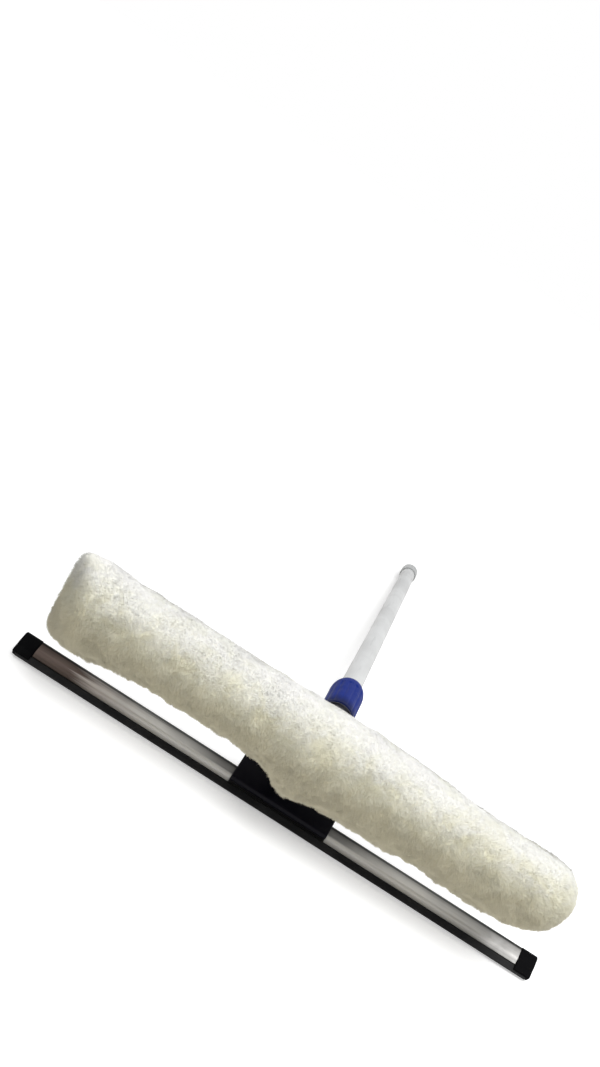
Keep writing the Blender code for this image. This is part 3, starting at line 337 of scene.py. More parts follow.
frameValues = {"colour": (0.0030, 0.0028, 0.0060), "dulled": (0.0050, 0.0048, 0.0085),
               "worn": (0.014, 0.014, 0.019), "edgeRadius": 0.6, "edgeWear": 0.35, "smudgeSize": 26.0,
               "grainSize": 0.45, "grainDepth": 0.015, "roughness": 0.36, "roughnessDulled": 0.50, "shine": 0.10}
nutValues = {"colour": (0.008, 0.022, 0.185), "dulled": (0.010, 0.026, 0.195), "worn": (0.018, 0.036, 0.21),
             "edgeRadius": 0.5, "edgeWear": 0.4, "smudgeSize": 18.0, "grainSize": 0.6, "grainDepth": 0.006,
             "roughness": 0.42, "roughnessDulled": 0.52, "shine": 0.02,
             "paintedShadow": ((69.0, 0.22), (76.0, 0.40), (90.0, 1.0), (145.0, 1.0))}   # by mm back from the T-bar
poleValues = {"colour": (0.62, 0.63, 0.63), "dulled": (0.585, 0.59, 0.59), "worn": (0.48, 0.48, 0.48),
              "scratch": (0.54, 0.55, 0.55), "edgeRadius": 0.3, "edgeWear": 0.5, "smudgeSize": 48.0,
              "grainSize": 1.6, "grainDepth": 0.004, "roughness": 0.30, "roughnessDulled": 0.46}
collarValues = {"colour": (0.47, 0.48, 0.48), "dulled": (0.41, 0.42, 0.42), "worn": (0.62, 0.62, 0.62),
                "edgeRadius": 0.5, "edgeWear": 0.4, "smudgeSize": 14.0, "grainSize": 0.5, "grainDepth": 0.010,
                "roughness": 0.42, "roughnessDulled": 0.55}
eyeValues = {"colour": (0.15, 0.155, 0.16), "dulled": (0.12, 0.125, 0.13), "worn": (0.32, 0.32, 0.33),
             "edgeRadius": 0.5, "edgeWear": 0.4, "smudgeSize": 9.0, "grainSize": 0.5, "grainDepth": 0.010,
             "roughness": 0.40, "roughnessDulled": 0.55}
barValues = {"colour": (0.28, 0.30, 0.32), "dulled": (0.24, 0.26, 0.28), "worn": (0.36, 0.38, 0.40),
             "edgeRadius": 0.5, "edgeWear": 0.4, "smudgeSize": 24.0, "grainSize": 0.6, "grainDepth": 0.010,
             "roughness": 0.50, "roughnessDulled": 0.62}
colletValues = {"colour": (0.72, 0.72, 0.70), "dulled": (0.64, 0.64, 0.62), "worn": (0.80, 0.80, 0.78),
                "edgeRadius": 0.3, "edgeWear": 0.3, "smudgeSize": 8.0, "grainSize": 0.5, "grainDepth": 0.008,
                "roughness": 0.38, "roughnessDulled": 0.50}
screwValues = {"colour": (0.58, 0.58, 0.58), "dulled": (0.48, 0.48, 0.47), "worn": (0.75, 0.75, 0.75),
               "edgeRadius": 0.15, "edgeWear": 0.5, "smudgeSize": 3.0, "grainSize": 0.3, "grainDepth": 0.004,
               "roughness": 0.22, "roughnessDulled": 0.36, "metallic": 1.0}
brassValues = {"colour": (0.70, 0.50, 0.21), "dulled": (0.52, 0.36, 0.15), "worn": (0.82, 0.64, 0.32),
               "edgeRadius": 0.15, "edgeWear": 0.5, "smudgeSize": 3.0, "grainSize": 0.3, "grainDepth": 0.004,
               "roughness": 0.30, "roughnessDulled": 0.44, "metallic": 1.0}


# The channel's colour, darkened in turn by painted shadow under the clamp, painted shade beside it, and painted
# reflections up its face and along its length.
def paintLightOnChannel(tree, colour):
    tilt = math.radians(channelPaintedLight["tilt"])
    up = lengthAlong(tree, (0.0, math.cos(tilt), math.sin(tilt)), channelPaintedLight["centre"])
    along = lengthAlong(tree, (1.0, 0.0, 0.0), channelPaintedLight["centre"])
    streak = groupNode(tree, linesAlongX, Size=channelPaintedLight["streakSize"])
    shift = rangeOf(tree, streak.outputs["Height"], *channelPaintedLight["streakShift"])
    uneven = addNode(tree, "ShaderNodeMath", {"operation": "ADD"}, at0=shift, at1=along)
    distance = addNode(tree, "ShaderNodeMath", {"operation": "ABSOLUTE"}, at0=along).outputs[0]
    # Painted shadow under the clamp.
    colour = timesColour(tree, colour, listed(tree, distance, channelPaintedLight["shadowUnderClamp"]))
    # Painted shade beside the clamp, on the upper part of the face.
    low, high = channelPaintedLight["besideFrom"]
    upper = addNode(tree, "ShaderNodeMapRange", Value=up, at1=low, at2=high).outputs["Result"]
    beside = mixColour(tree, upper, (1.0, 1.0, 1.0), listed(tree, distance, channelPaintedLight["shadeBesideClamp"]))
    colour = timesColour(tree, colour, beside)
    # Painted highlight and dark reflections up the face, from the lips to the spine.
    colour = timesColour(tree, colour, listed(tree, up, channelPaintedLight["up"]))
    # Dark reflections painted towards both ends, the left one running out in streaks.
    return timesColour(tree, colour, listed(tree, uneven.outputs[0], channelPaintedLight["along"]))


# Painted shadow on the nut: darker towards its front end, as if the fleece shaded it.
def paintShadowOnNut(tree, colour):
    along = lengthAlong(tree, (0.0, 1.0, 0.0), (0.0, 0.0, 0.0))
    return timesColour(tree, colour, listed(tree, along, nutValues["paintedShadow"]))


steelLook = hardLook("channel steel", steelValues, linesAlongX, paintLightOnChannel)
rubberLook = hardLook("blade rubber", rubberValues)
clipLook = hardLook("end clip plastic", clipValues)
frameLook = hardLook("frame plastic", frameValues)
nutLook = hardLook("blue nut plastic", nutValues, None, paintShadowOnNut)
poleLook = hardLook("pole paint", poleValues, linesAlongY)
collarLook = hardLook("end collar plastic", collarValues)
eyeLook = hardLook("hanging eye plastic", eyeValues)
barLook = hardLook("T-bar plastic", barValues)
colletLook = hardLook("collet plastic", colletValues)
screwLook = hardLook("plated screw steel", screwValues)
brassLook = hardLook("insert brass", brassValues)


# Woven tape: fine crossed ribs, as a height in mm and as a colour, with painted shade in the grooves between them.
tapeValues = {"colour": (0.78, 0.78, 0.75), "paintedShade": (0.55, 0.55, 0.52), "ribs": 1400.0, "depth": 0.12,
              "roughness": 0.85}


def tapeLook():
    look, tree, shader = newLook("closure tape")
    place, scale = objectPoint(tree), tapeValues["ribs"] / 6.28
    across = addNode(tree, "ShaderNodeTexWave", {"bands_direction": "X"}, Vector=place, Scale=scale)
    up = addNode(tree, "ShaderNodeTexWave", {"bands_direction": "Z"}, Vector=place, Scale=scale)
    weave = addNode(tree, "ShaderNodeMath", {"operation": "MULTIPLY"},
                    at0=across.outputs["Fac"], at1=up.outputs["Fac"])
    # Painted shade in the grooves between the ribs.
    colour = mixColour(tree, weave.outputs[0], tapeValues["paintedShade"], tapeValues["colour"])
    tree.links.new(colour, shader.inputs["Base Color"])
    bump = addNode(tree, "ShaderNodeBump", Height=weave.outputs[0], Distance=tapeValues["depth"] * mm)
    tree.links.new(bump.outputs["Normal"], shader.inputs["Normal"])
    shader.inputs["Roughness"].default_value = tapeValues["roughness"]
    return look


# Fleece: cream at the tips, darker and warmer towards the backing, each strand with its own tone. The list "down"
# is painted shade, tanner and darker lower down by its height in mm over the sleeve's middle. Patches lower that
# height, and the back raises it.
fleeceColours = {"tip": (0.975, 0.975, 0.965), "root": (0.955, 0.945, 0.905), "tint": (0.965, 0.965, 0.935),
                 "ownDark": (0.91, 0.885, 0.815), "roughness": 0.95, "sheen": 0.20, "patchSize": 16.0,
                 "patchDrop": 9.0, "backFrom": 4.0, "backTo": 24.0, "backLift": 8.0,
                 "down": ((-36.0, (0.91, 0.865, 0.69)), (-14.0, (0.92, 0.875, 0.69)), (2.0, (0.945, 0.925, 0.765)),
                          (11.0, (0.97, 0.965, 0.875)), (20.0, (0.99, 0.995, 0.96)), (29.0, (1.0, 1.0, 1.0)))}


def fleeceLook():
    look, tree, shader = newLook("cream fleece")
    along = addNode(tree, "ShaderNodeAttribute", {"attribute_name": "strandPart"}).outputs["Fac"]
    tone = addNode(tree, "ShaderNodeAttribute", {"attribute_name": "strandTone"}).outputs["Fac"]
    patch = groupNode(tree, softSmudge, Size=fleeceColours["patchSize"])
    tip = mixColour(tree, patch.outputs["Mask"], fleeceColours["tip"], fleeceColours["tint"])
    rise = addNode(tree, "ShaderNodeMapRange", Value=along, at1=0.0, at2=0.75).outputs["Result"]
    colour = mixColour(tree, rise, fleeceColours["root"], tip)
    own = mixColour(tree, tone, fleeceColours["ownDark"], (1.0, 1.0, 1.0))
    # Painted shade by height: tanner and darker lower down, mottled by the patches and lifted at the back.
    height = lengthAlong(tree, (0.0, 0.0, 1.0), (0.0, 0.0, 0.0))
    height = addNode(tree, "ShaderNodeMath", {"operation": "MULTIPLY_ADD"}, at0=patch.outputs["Mask"],
                     at1=-fleeceColours["patchDrop"], at2=height).outputs[0]
    back = lengthAlong(tree, (0.0, 1.0, 0.0), (0.0, 0.0, 0.0))
    lifted = addNode(tree, "ShaderNodeMapRange", Value=back, at1=fleeceColours["backFrom"],
                     at2=fleeceColours["backTo"], at3=0.0, at4=fleeceColours["backLift"]).outputs["Result"]
    height = addNode(tree, "ShaderNodeMath", {"operation": "ADD"}, at0=height, at1=lifted).outputs[0]
    colour = timesColour(tree, colour, listed(tree, height, fleeceColours["down"]))
    tree.links.new(timesColour(tree, colour, own), shader.inputs["Base Color"])
    shader.inputs["Roughness"].default_value = fleeceColours["roughness"]
    shader.inputs["Sheen Weight"].default_value = fleeceColours["sheen"]
    return look


nodeLooks = {"squeegee_channel": steelLook, "rubber_blade": rubberLook, "end_clip_left": clipLook,
             "end_clip_right": clipLook, "clamp_plate": frameLook, "clamp_screw_left": screwLook,
             "clamp_screw_right": screwLook, "clamp_insert_left": brassLook, "clamp_insert_right": brassLook,
             "head_frame": frameLook, "t_bar": barLook, "t_bar_plug_left": barLook, "t_bar_plug_right": barLook,
             "t_bar_screw_left": screwLook, "t_bar_screw_right": screwLook, "grip_collet": colletLook,
             "lock_nut": nutLook, "pole_tube": poleLook, "pole_front_plug": collarLook,
             "pole_end_collar": collarLook, "hanging_eye": eyeLook}
tapes = tapeLook()
nodeLooks["closure_hook_tape"] = nodeLooks["closure_loop_tape"] = tapes
for nodeName, look in nodeLooks.items():
    mesh = nodes[nodeName].data
    mesh.materials.clear()
    mesh.materials.append(look)
print("finishes given to", len(nodeLooks), "CAD nodes")

# Fleece sleeve. Its lists of sags are (X, how far it stands out) in mm, as it hangs unevenly on its bar.
sleeve = {
    "radius": 0.0310,            # skin under the pile
    "reachRight": 0.2058,        # sewn end
    "roundRight": 0.0290,        # length of its rounding
    "blunt": 2.4,                # 2 is a round end, more is blunter
    "reachLeft": 0.2058,         # end that opens
    "flatLength": 0.0270,        # where that end is pressed flat
    "flatStart": 0.178,          # where its closer rows begin
    "flatHalf": 0.0042,
    "flatCorner": 0.0090,
    "columns": 180,
    "rowStep": 0.002,
    "domeRows": 20,
    "flatRows": 21,
    "innerRows": 9,
    "slotHalf": 0.030,           # slot for the saddle: half width and half height
    "slotHigh": 0.0167,
    "slotColumns": 18,           # columns on each side of the slot's middle
    "bore": 0.0173,              # room for the T-bar, with its rounded ends
    "boreHalf": 0.1803,
    "boreDome": 0.0083,
    "slitHalf": 0.00135,         # slit for the closure tapes
    "slitHigh": 0.0153,
    "slitEnd": 0.1890,
    "openFrom": 0.175,           # where the bore begins to become that slit
    "calmFrom": 0.185,           # lumps fade from here to the lip
    "lumps": ((0.0150, 0.0006, 8), (0.0075, 0.0007, 9), (0.0034, 0.0003, 5)),
    "underLumps": ((0.0062, 0.0013, 12), (0.0040, 0.0006, 13)),   # more of them low down, where locks hang
    "raggedMore": 0.5,           # how much rougher its lower edge is over the clamp, and how far along
    "raggedReach": (0.045, 0.075),
    "topSag": ((-206, -1.0), (-189, -1.0), (-175, -2.3), (-162, -3.3), (-68, -3.3), (-54, -2.6), (0, -1.9),
               (34, -1.6), (68, -3.0), (81, -4.0), (95, -5.0), (110, -7.2), (135, -7.8), (155, -8.5),
               (189, -7.2), (208, -5.0)),
    "lowSag": ((-206, 4.0), (-186, 5.0), (-178, 4.6), (-170, 3.0), (-162, 1.1), (-146, -1.0), (-130, -3.0),
               (-113, -4.1), (-40, -4.1), (-30, -2.4), (-22, 0.6), (-14, 5.0), (-7, 10.0), (-1, 9.6), (6, 5.2),
               (14, 4.4), (25, 4.2), (36, 2.6), (46, 1.8), (58, 2.6), (70, 4.3), (80, 2.4), (90, 1.0),
               (101, 0.9), (117, 2.1), (142, 1.4), (166, 1.4), (182, -2.0), (200, -3.6), (208, -3.6)),
}


# How far the sleeve stands out at each point: the top's and bottom's lists, smoothed, and eased round between them.
def sagAt(points):
    upward = 0.5 + 0.5 * points[:, 2] / np.maximum(np.linalg.norm(points[:, 1:], axis=1), 1e-6)
    total = np.zeros(len(points))
    for sags, share in (("topSag", upward ** 2), ("lowSag", (1.0 - upward) ** 2)):
        x, height = np.array(sleeve[sags]).T * mm
        near = [np.interp(points[:, 0] + shift * mm, x, height) for shift in (-6, -3, 0, 3, 6)]
        total += share * np.mean(near, axis=0)
    return total


# Half depth and half height of the sleeve at each X: a round tube, a dome on the right, pressed flat on the left.
def sleeveOval(x):
    rise = np.clip((x - sleeve["reachRight"] + sleeve["roundRight"]) / sleeve["roundRight"], 0.0, 1.0)
    radius = sleeve["radius"] * (1.0 - rise ** sleeve["blunt"]) ** (1.0 / sleeve["blunt"])
    share = np.clip((sleeve["flatLength"] - sleeve["reachLeft"] - x) / sleeve["flatLength"], 0.0, 1.0)
    depth = np.where(share > 0.0, sleeve["flatHalf"]
                     + (sleeve["radius"] - sleeve["flatHalf"]) * np.cos(math.pi / 2.0 * share), radius)
    past = np.clip(sleeve["flatLength"] * (share - 1.0) / sleeve["flatCorner"] + 1.0, 0.0, 1.0)
    height = radius - sleeve["flatCorner"] * (1.0 - np.sqrt(1.0 - past ** 2))
    return depth, height


# Angle of each column, round X from the back: even, but stretched so that the slot's edge falls on a column.
def columnAngles(radius):
    half = sleeve["columns"] // 2
    index = np.arange(-half, half)
    edge = math.asin(sleeve["slotHigh"] / radius)
    inside = sleeve["slotColumns"]
    beyond = np.sign(index) * (edge + (math.pi - edge) * (np.abs(index) - inside) / (half - inside))
    return np.where(np.abs(index) <= inside, index * edge / inside, beyond)


# Rings of an oval tube: Y = depth times cosine, Z = height times sine, each to a power that squares the corners.
def ovalRings(x, depth, height, angles, power):
    side = np.cos(angles)[None, :]
    up = np.sin(angles)[None, :]
    y = depth[:, None] * np.sign(side) * np.abs(side) ** power[:, None]
    z = height[:, None] * np.sign(up) * np.abs(up) ** power[:, None]
    return np.stack([np.broadcast_to(x[:, None], y.shape), y, z], axis=-1)


# The backing: rings of the outer oval from right to left, then rings of the bore back to the right, so that the two
# are one closed tube. Cells are left out of both for the slot, and each outer point moves out by its sag and lumps.
def buildSkin(look):
    columns, step = sleeve["columns"], sleeve["rowStep"]
    slotRow = round(sleeve["slotHalf"] / step)
    # Outer rows run from the sewn end on the right to the lip on the left.
    domeTurn = np.linspace(1.565, 0.05, sleeve["domeRows"])
    dome = sleeve["reachRight"] - sleeve["roundRight"] * (1.0 - np.sin(domeTurn))
    straight = np.arange(math.floor(dome[-1] / step), -math.floor(sleeve["flatStart"] / step) - 1, -1) * step
    flatReach = sleeve["reachLeft"] - sleeve["flatStart"]
    flat = -sleeve["flatStart"] - flatReach * np.linspace(0.0, 1.0, sleeve["flatRows"] + 1)[1:] ** 0.8
    outerX = np.concatenate([dome, straight[straight < dome[-1] - 0.0005], flat])
    outerDepth, outerHeight = sleeveOval(outerX)
    outer = ovalRings(outerX, outerDepth, outerHeight, columnAngles(sleeve["radius"]), np.ones(len(outerX)))
    # Inner rows run back from the lip, through the slit and along the T-bar to its right end.
    slit = np.linspace(-sleeve["reachLeft"], -sleeve["slitEnd"], sleeve["innerRows"])
    endTurn = np.linspace(0.0, math.pi / 2.0, sleeve["innerRows"])
    leftDome = -sleeve["boreHalf"] - sleeve["boreDome"] * np.cos(endTurn)
    middleRow = math.floor(sleeve["boreHalf"] / step)
    middle = np.arange(-middleRow, middleRow + 1) * step
    rightDome = sleeve["boreHalf"] + sleeve["boreDome"] * np.sin(endTurn[:-1])
    innerX = np.concatenate([slit, leftDome[:-1], middle, rightDome])
    beyond = np.clip(np.abs(innerX) - sleeve["boreHalf"], 0.0, sleeve["boreDome"]) / sleeve["boreDome"]
    bore = sleeve["bore"] * np.sqrt(1.0 - beyond ** 2)
    onLeft = innerX < -sleeve["openFrom"]
    innerDepth = np.where(onLeft, np.maximum(bore, sleeve["slitHalf"]), bore)
    innerHeight = np.where(onLeft, np.maximum(bore, sleeve["slitHigh"]), bore)
    power = np.where(onLeft, 1.0 - 0.75 * easeBetween(innerHeight - innerDepth, 0.0, 0.010), 1.0)
    inner = ovalRings(innerX, innerDepth, innerHeight, columnAngles(sleeve["bore"]), power)
    rings = np.concatenate([outer, inner])
    rows = len(rings)
    points = np.concatenate([rings.reshape(-1, 3), [[sleeve["reachRight"], 0.0, 0.0]],
                             [[sleeve["boreHalf"] + sleeve["boreDome"], 0.0, 0.0]]])
    quads = ringQuads(rows, columns)
    # The slot: cells left out of both layers, and a rim that joins them.
    outerMiddle = int(np.argmin(np.abs(outerX)))
    innerMiddle = len(outerX) + int(np.argmin(np.abs(innerX)))
    low, high = columns // 2 - sleeve["slotColumns"], columns // 2 + sleeve["slotColumns"]
    keep = np.ones(quads.shape[:2], bool)
    keep[outerMiddle - slotRow:outerMiddle + slotRow, low:high] = False
    keep[innerMiddle - slotRow:innerMiddle + slotRow, low:high] = False
    along, across = np.arange(-slotRow, slotRow), np.arange(low, high)
    outside, inside = (outerMiddle - along) * columns, (innerMiddle + along) * columns
    walls = np.stack([inside, inside + columns, outside - columns, outside], axis=-1)
    outside, inside = (outerMiddle - slotRow) * columns + across, (innerMiddle + slotRow) * columns + across
    rightEnd = np.stack([inside, inside + 1, outside + 1, outside], axis=-1)
    outside, inside = (outerMiddle + slotRow) * columns + across, (innerMiddle - slotRow) * columns + across
    leftEnd = np.stack([outside, outside + 1, inside + 1, inside], axis=-1)
    rim = np.concatenate([walls + low, walls[:, ::-1] + high, rightEnd, leftEnd])
    around = np.arange(columns)
    after = (around + 1) % columns
    firstPole, lastPole = len(points) - 2, len(points) - 1
    lastRow = (rows - 1) * columns
    fans = np.concatenate([np.stack([np.full(columns, firstPole), around, after], axis=-1),
                           np.stack([np.full(columns, lastPole), lastRow + after, lastRow + around], axis=-1)])
    # Lumps push the outer layer in and out, but leave the lip alone.
    outerCount = len(outerX) * columns
    skin = points[:outerCount]
    away = np.stack([np.zeros(outerCount), skin[:, 1], skin[:, 2]], axis=-1)
    away /= np.maximum(np.linalg.norm(away, axis=1), 1e-6)[:, None]
    calm = easeBetween(skin[:, 0], -sleeve["reachLeft"], -sleeve["calmFrom"])
    lumps = sum(softNoise(skin, size, seed) * height for size, height, seed in sleeve["lumps"])
    hanging = easeBetween(-away[:, 2], -0.1, 0.75)
    hanging *= 1.0 + sleeve["raggedMore"] * (1.0 - easeBetween(np.abs(skin[:, 0]), *sleeve["raggedReach"]))
    lumps += sum(softNoise(skin, size, seed) * height for size, height, seed in sleeve["underLumps"]) * hanging
    push = (sagAt(skin) + lumps * calm) * easeBetween(np.linalg.norm(skin[:, 1:], axis=1), 0.002, 0.020)
    skin += away * push[:, None]
    values = {"strandPart": np.full(len(points), 0.25), "strandTone": np.full(len(points), 0.5)}
    piece = meshPiece("fleece_backing", points, [quads[keep], rim, fans], look, "head", values)
    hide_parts("washer_sleeve")
    return piece, points[:outerCount].reshape(len(outerX), columns, 3), keep[:len(outerX) - 1]


# Pile: every strand is a thin cone, short and dense, laid over the way the fleece is brushed.
pile = {
    "strands": 260000,
    "sections": 6,
    "rise": 0.0029,              # how far a tip stands off the skin
    "riseAtFlat": 0.0021,        # the same at the pressed end
    "pressedFrom": 0.172,        # where the pressed end's pile begins, and where it is wholly so
    "pressedTo": 0.200,
    "lay": 0.0022,               # how far it lies over along the skin
    "thick": 0.00030,            # half thickness of a strand at its root
    "sink": 0.0005,
    "clump": 0.0060,             # distance between the centres that tips lean to
    "clumpPull": 0.20,
    "combSize": 0.015,           # size of the slow field that combs the locks one way
    "combSwing": 0.55,           # how far that field turns them from the way they are brushed
    "brushed": (0.3, 1.0, -0.65),  # down the front and back over the top
    "stray": 0.70,               # how far single strands stray from it
    "curl": 0.0006,
    "riseSpread": 0.35,
    "topShort": 0.50,            # how much shorter the pile is on top, where it is brushed down
    "topSlope": (0.55, 0.95),    # how far the skin faces up where that begins and where it is whole
    "backSlope": (0.15, 0.60),   # how far the skin faces back where the back begins and where it is whole
    "backLong": 0.30,            # how much longer it is behind, where the glass doesn't flatten it
    "backLoose": 1.6,            # how much more its strands stray there
    "backTurn": 0.20,            # how much further each strand's shading turns there
    "rimStrands": 3400,          # short pile on the side walls of the slot
    "rimRise": 0.0012,
    "slotNear": 0.008,           # how near the slot the pile leans away from it, and how far
    "slotLean": 0.0030,
    "slotClear": (0.04, 0.06),   # how far along the longer pile begins and where it is whole
    "ownTone": 0.35,             # how much of its own tone a strand shows in front, where 1 is all of it
    "tufts": ((0.0090, 0.15), (0.0045, 0.14)),   # size of soft tufts, and how far their shading turns
    "ownTurn": 0.10,             # how far each strand's own shading turns
    "seed": 11,
}


# Picks spots on the grid's cells in proportion to their area, spread evenly.
def scatterRoots(grid, keep, count, random):
    following = np.roll(grid, -1, axis=1)
    a, b = grid[:-1], following[:-1]
    c, d = following[1:], grid[1:]
    normal = np.cross(c - a, b - d)
    area = np.linalg.norm(normal, axis=-1) / 2.0 * keep
    total = np.cumsum(area.ravel())
    pick = np.searchsorted(total, (np.arange(count) + random.random(count)) / count * total[-1])
    row, column = np.divmod(np.minimum(pick, len(total) - 1), grid.shape[1])
    first, second = random.random((2, count, 1))
    low = a[row, column] * (1.0 - second) + b[row, column] * second
    high = d[row, column] * (1.0 - second) + c[row, column] * second
    return low * (1.0 - first) + high * first


# Spots on the slot's two side walls, between the T-bar and the outer skin.
def scatterRim(count, random):
    z = sleeve["slotHigh"] * (2.0 * random.random(count) - 1.0)
    inner = np.sqrt(sleeve["bore"] ** 2 - z ** 2)
    outer = np.sqrt(sleeve["radius"] ** 2 - z ** 2)
    y = inner + (outer - inner) * (0.10 + 0.82 * random.random(count))
    x = sleeve["slotHalf"] * np.where(np.arange(count) % 2, 1.0, -1.0)
    return np.stack([x, y, z], axis=-1)


# Direction straight out of the smooth oval tube at each root, from the shape's own slopes.
def outwardAt(points):
    delta = 0.0005
    x = points[:, 0]
    depth, height = sleeveOval(x)
    nextDepth, nextHeight = sleeveOval(x + delta)
    y, z = points[:, 1] / np.maximum(depth, 1e-4), points[:, 2] / np.maximum(height, 1e-4)
    slope = -((nextDepth - depth) * y ** 2 / np.maximum(depth, 1e-4)
              + (nextHeight - height) * z ** 2 / np.maximum(height, 1e-4)) / delta
    out = np.stack([slope, y / np.maximum(depth, 1e-4), z / np.maximum(height, 1e-4)], axis=-1)
    return out / np.maximum(np.linalg.norm(out, axis=1), 1e-9)[:, None]


# The nearest of one jittered centre per lattice cube, for each point.
def nearestCentre(points, size, seed):
    cell = np.floor(points / size).astype(np.int64)
    best = np.full(len(points), 1e9)
    centre = np.zeros_like(points)
    for step in np.ndindex(3, 3, 3):
        at = cell + np.array(step) - 1
        jitter = np.stack([latticeValue(at, seed + axis) for axis in range(3)], axis=-1)
        spot = (at + 0.5 + 0.42 * jitter) * size
        distance = np.linalg.norm(points - spot, axis=1)
        nearer = distance < best
        best = np.where(nearer, distance, best)
        centre[nearer] = spot[nearer]
    return centre, best / size


# How far each tip rises: a little by chance, more at a lock's centre, less on top, more behind, short on the rim.
def strandRise(out, spread, pressed, behind, awayFromSlot, onRim, random):
    count = len(out)
    rise = pile["rise"] * (1.0 - pressed) + pile["riseAtFlat"] * pressed
    rise *= 1.0 + pile["riseSpread"] * (random.random(count) - 0.6)
    rise *= 1.12 - 0.28 * easeBetween(spread, 0.15, 0.75)
    rise *= 1.0 - pile["topShort"] * easeBetween(out[:, 2], *pile["topSlope"])
    rise *= 1.0 + pile["backLong"] * behind * awayFromSlot
    return np.where(onRim, pile["rimRise"] * (0.6 + 0.6 * random.random(count)), rise) + pile["sink"]


# How far each tip lies over along the skin: towards its lock's centre, and along the slow combing field.
def strandLean(roots, out, pull, pressed, behind, onRim, random):
    count = len(roots)
    comb = np.stack([softNoise(roots, pile["combSize"], 40 + axis) for axis in range(3)], axis=-1)
    comb = comb * pile["combSwing"] + np.array(pile["brushed"])
    comb += (pile["stray"] * (1.0 + pile["backLoose"] * behind))[:, None] * random.normal(size=(count, 3))
    comb -= out * np.sum(comb * out, axis=1)[:, None]
    comb /= np.maximum(np.linalg.norm(comb, axis=1), 1e-9)[:, None]
    lean = comb * (pile["lay"] * (0.55 + 0.9 * random.random(count)))[:, None] + pull * pile["clumpPull"]
    lean -= out * np.sum(lean * out, axis=1)[:, None]
    lean *= (1.0 - 0.5 * pressed - 0.5 * onRim)[:, None]
    # Near the slot the pile leans away from the saddle and neck.
    besideX = np.abs(roots[:, 0]) - sleeve["slotHalf"]
    besideZ = np.abs(roots[:, 2]) - sleeve["slotHigh"]
    beside = np.maximum(besideX, besideZ)
    near = (1.0 - easeBetween(beside, 0.0, pile["slotNear"])) * (roots[:, 1] > 0.0) * ~onRim
    lean *= (1.0 - near)[:, None]
    lean[:, 0] += pile["slotLean"] * near * np.sign(roots[:, 0]) * (besideX > besideZ)
    lean[:, 2] += pile["slotLean"] * near * np.sign(roots[:, 2]) * (besideZ >= besideX)
    return lean


# Each strand is a thin cone: a triangle sunk in the skin, and a point at its tip.
def strandCones(roots, out, rise, lean, pressed, random):
    count = len(roots)
    side = np.cross(out, random.normal(size=(count, 3)))
    side /= np.linalg.norm(side, axis=1)[:, None]
    other = np.cross(out, side)
    curl = pile["curl"] * random.random(count) * (1.0 - 0.5 * pressed)
    thick = pile["thick"] * (0.75 + 0.5 * random.random(count)) * (1.0 - 0.35 * pressed)
    turns = 2.0 * math.pi * np.arange(3) / 3.0
    spin = random.random(count)[:, None] * 2.0 * math.pi + turns[None, :]
    foot = roots - out * pile["sink"]
    ring = foot[:, None, :] + thick[:, None, None] * (
        np.cos(spin)[..., None] * side[:, None, :] + np.sin(spin)[..., None] * other[:, None, :])
    tip = foot + out * (rise - 0.3 * curl)[:, None] + lean + side * (curl * math.sin(4.2))[:, None]
    return np.concatenate([ring, tip[:, None, :]], axis=1)


# One normal for each strand, turned by its tufts and a little by chance, so that tufts are shaded together.
def strandShading(roots, out, behind, random):
    shaded = out + (pile["ownTurn"] + pile["backTurn"] * behind)[:, None] * random.normal(size=roots.shape)
    for number, (wide, turn) in enumerate(pile["tufts"]):
        shaded += turn * np.stack([softNoise(roots, wide, 60 + 3 * number + axis) for axis in range(3)], axis=-1)
    return shaded / np.linalg.norm(shaded, axis=-1)[:, None]


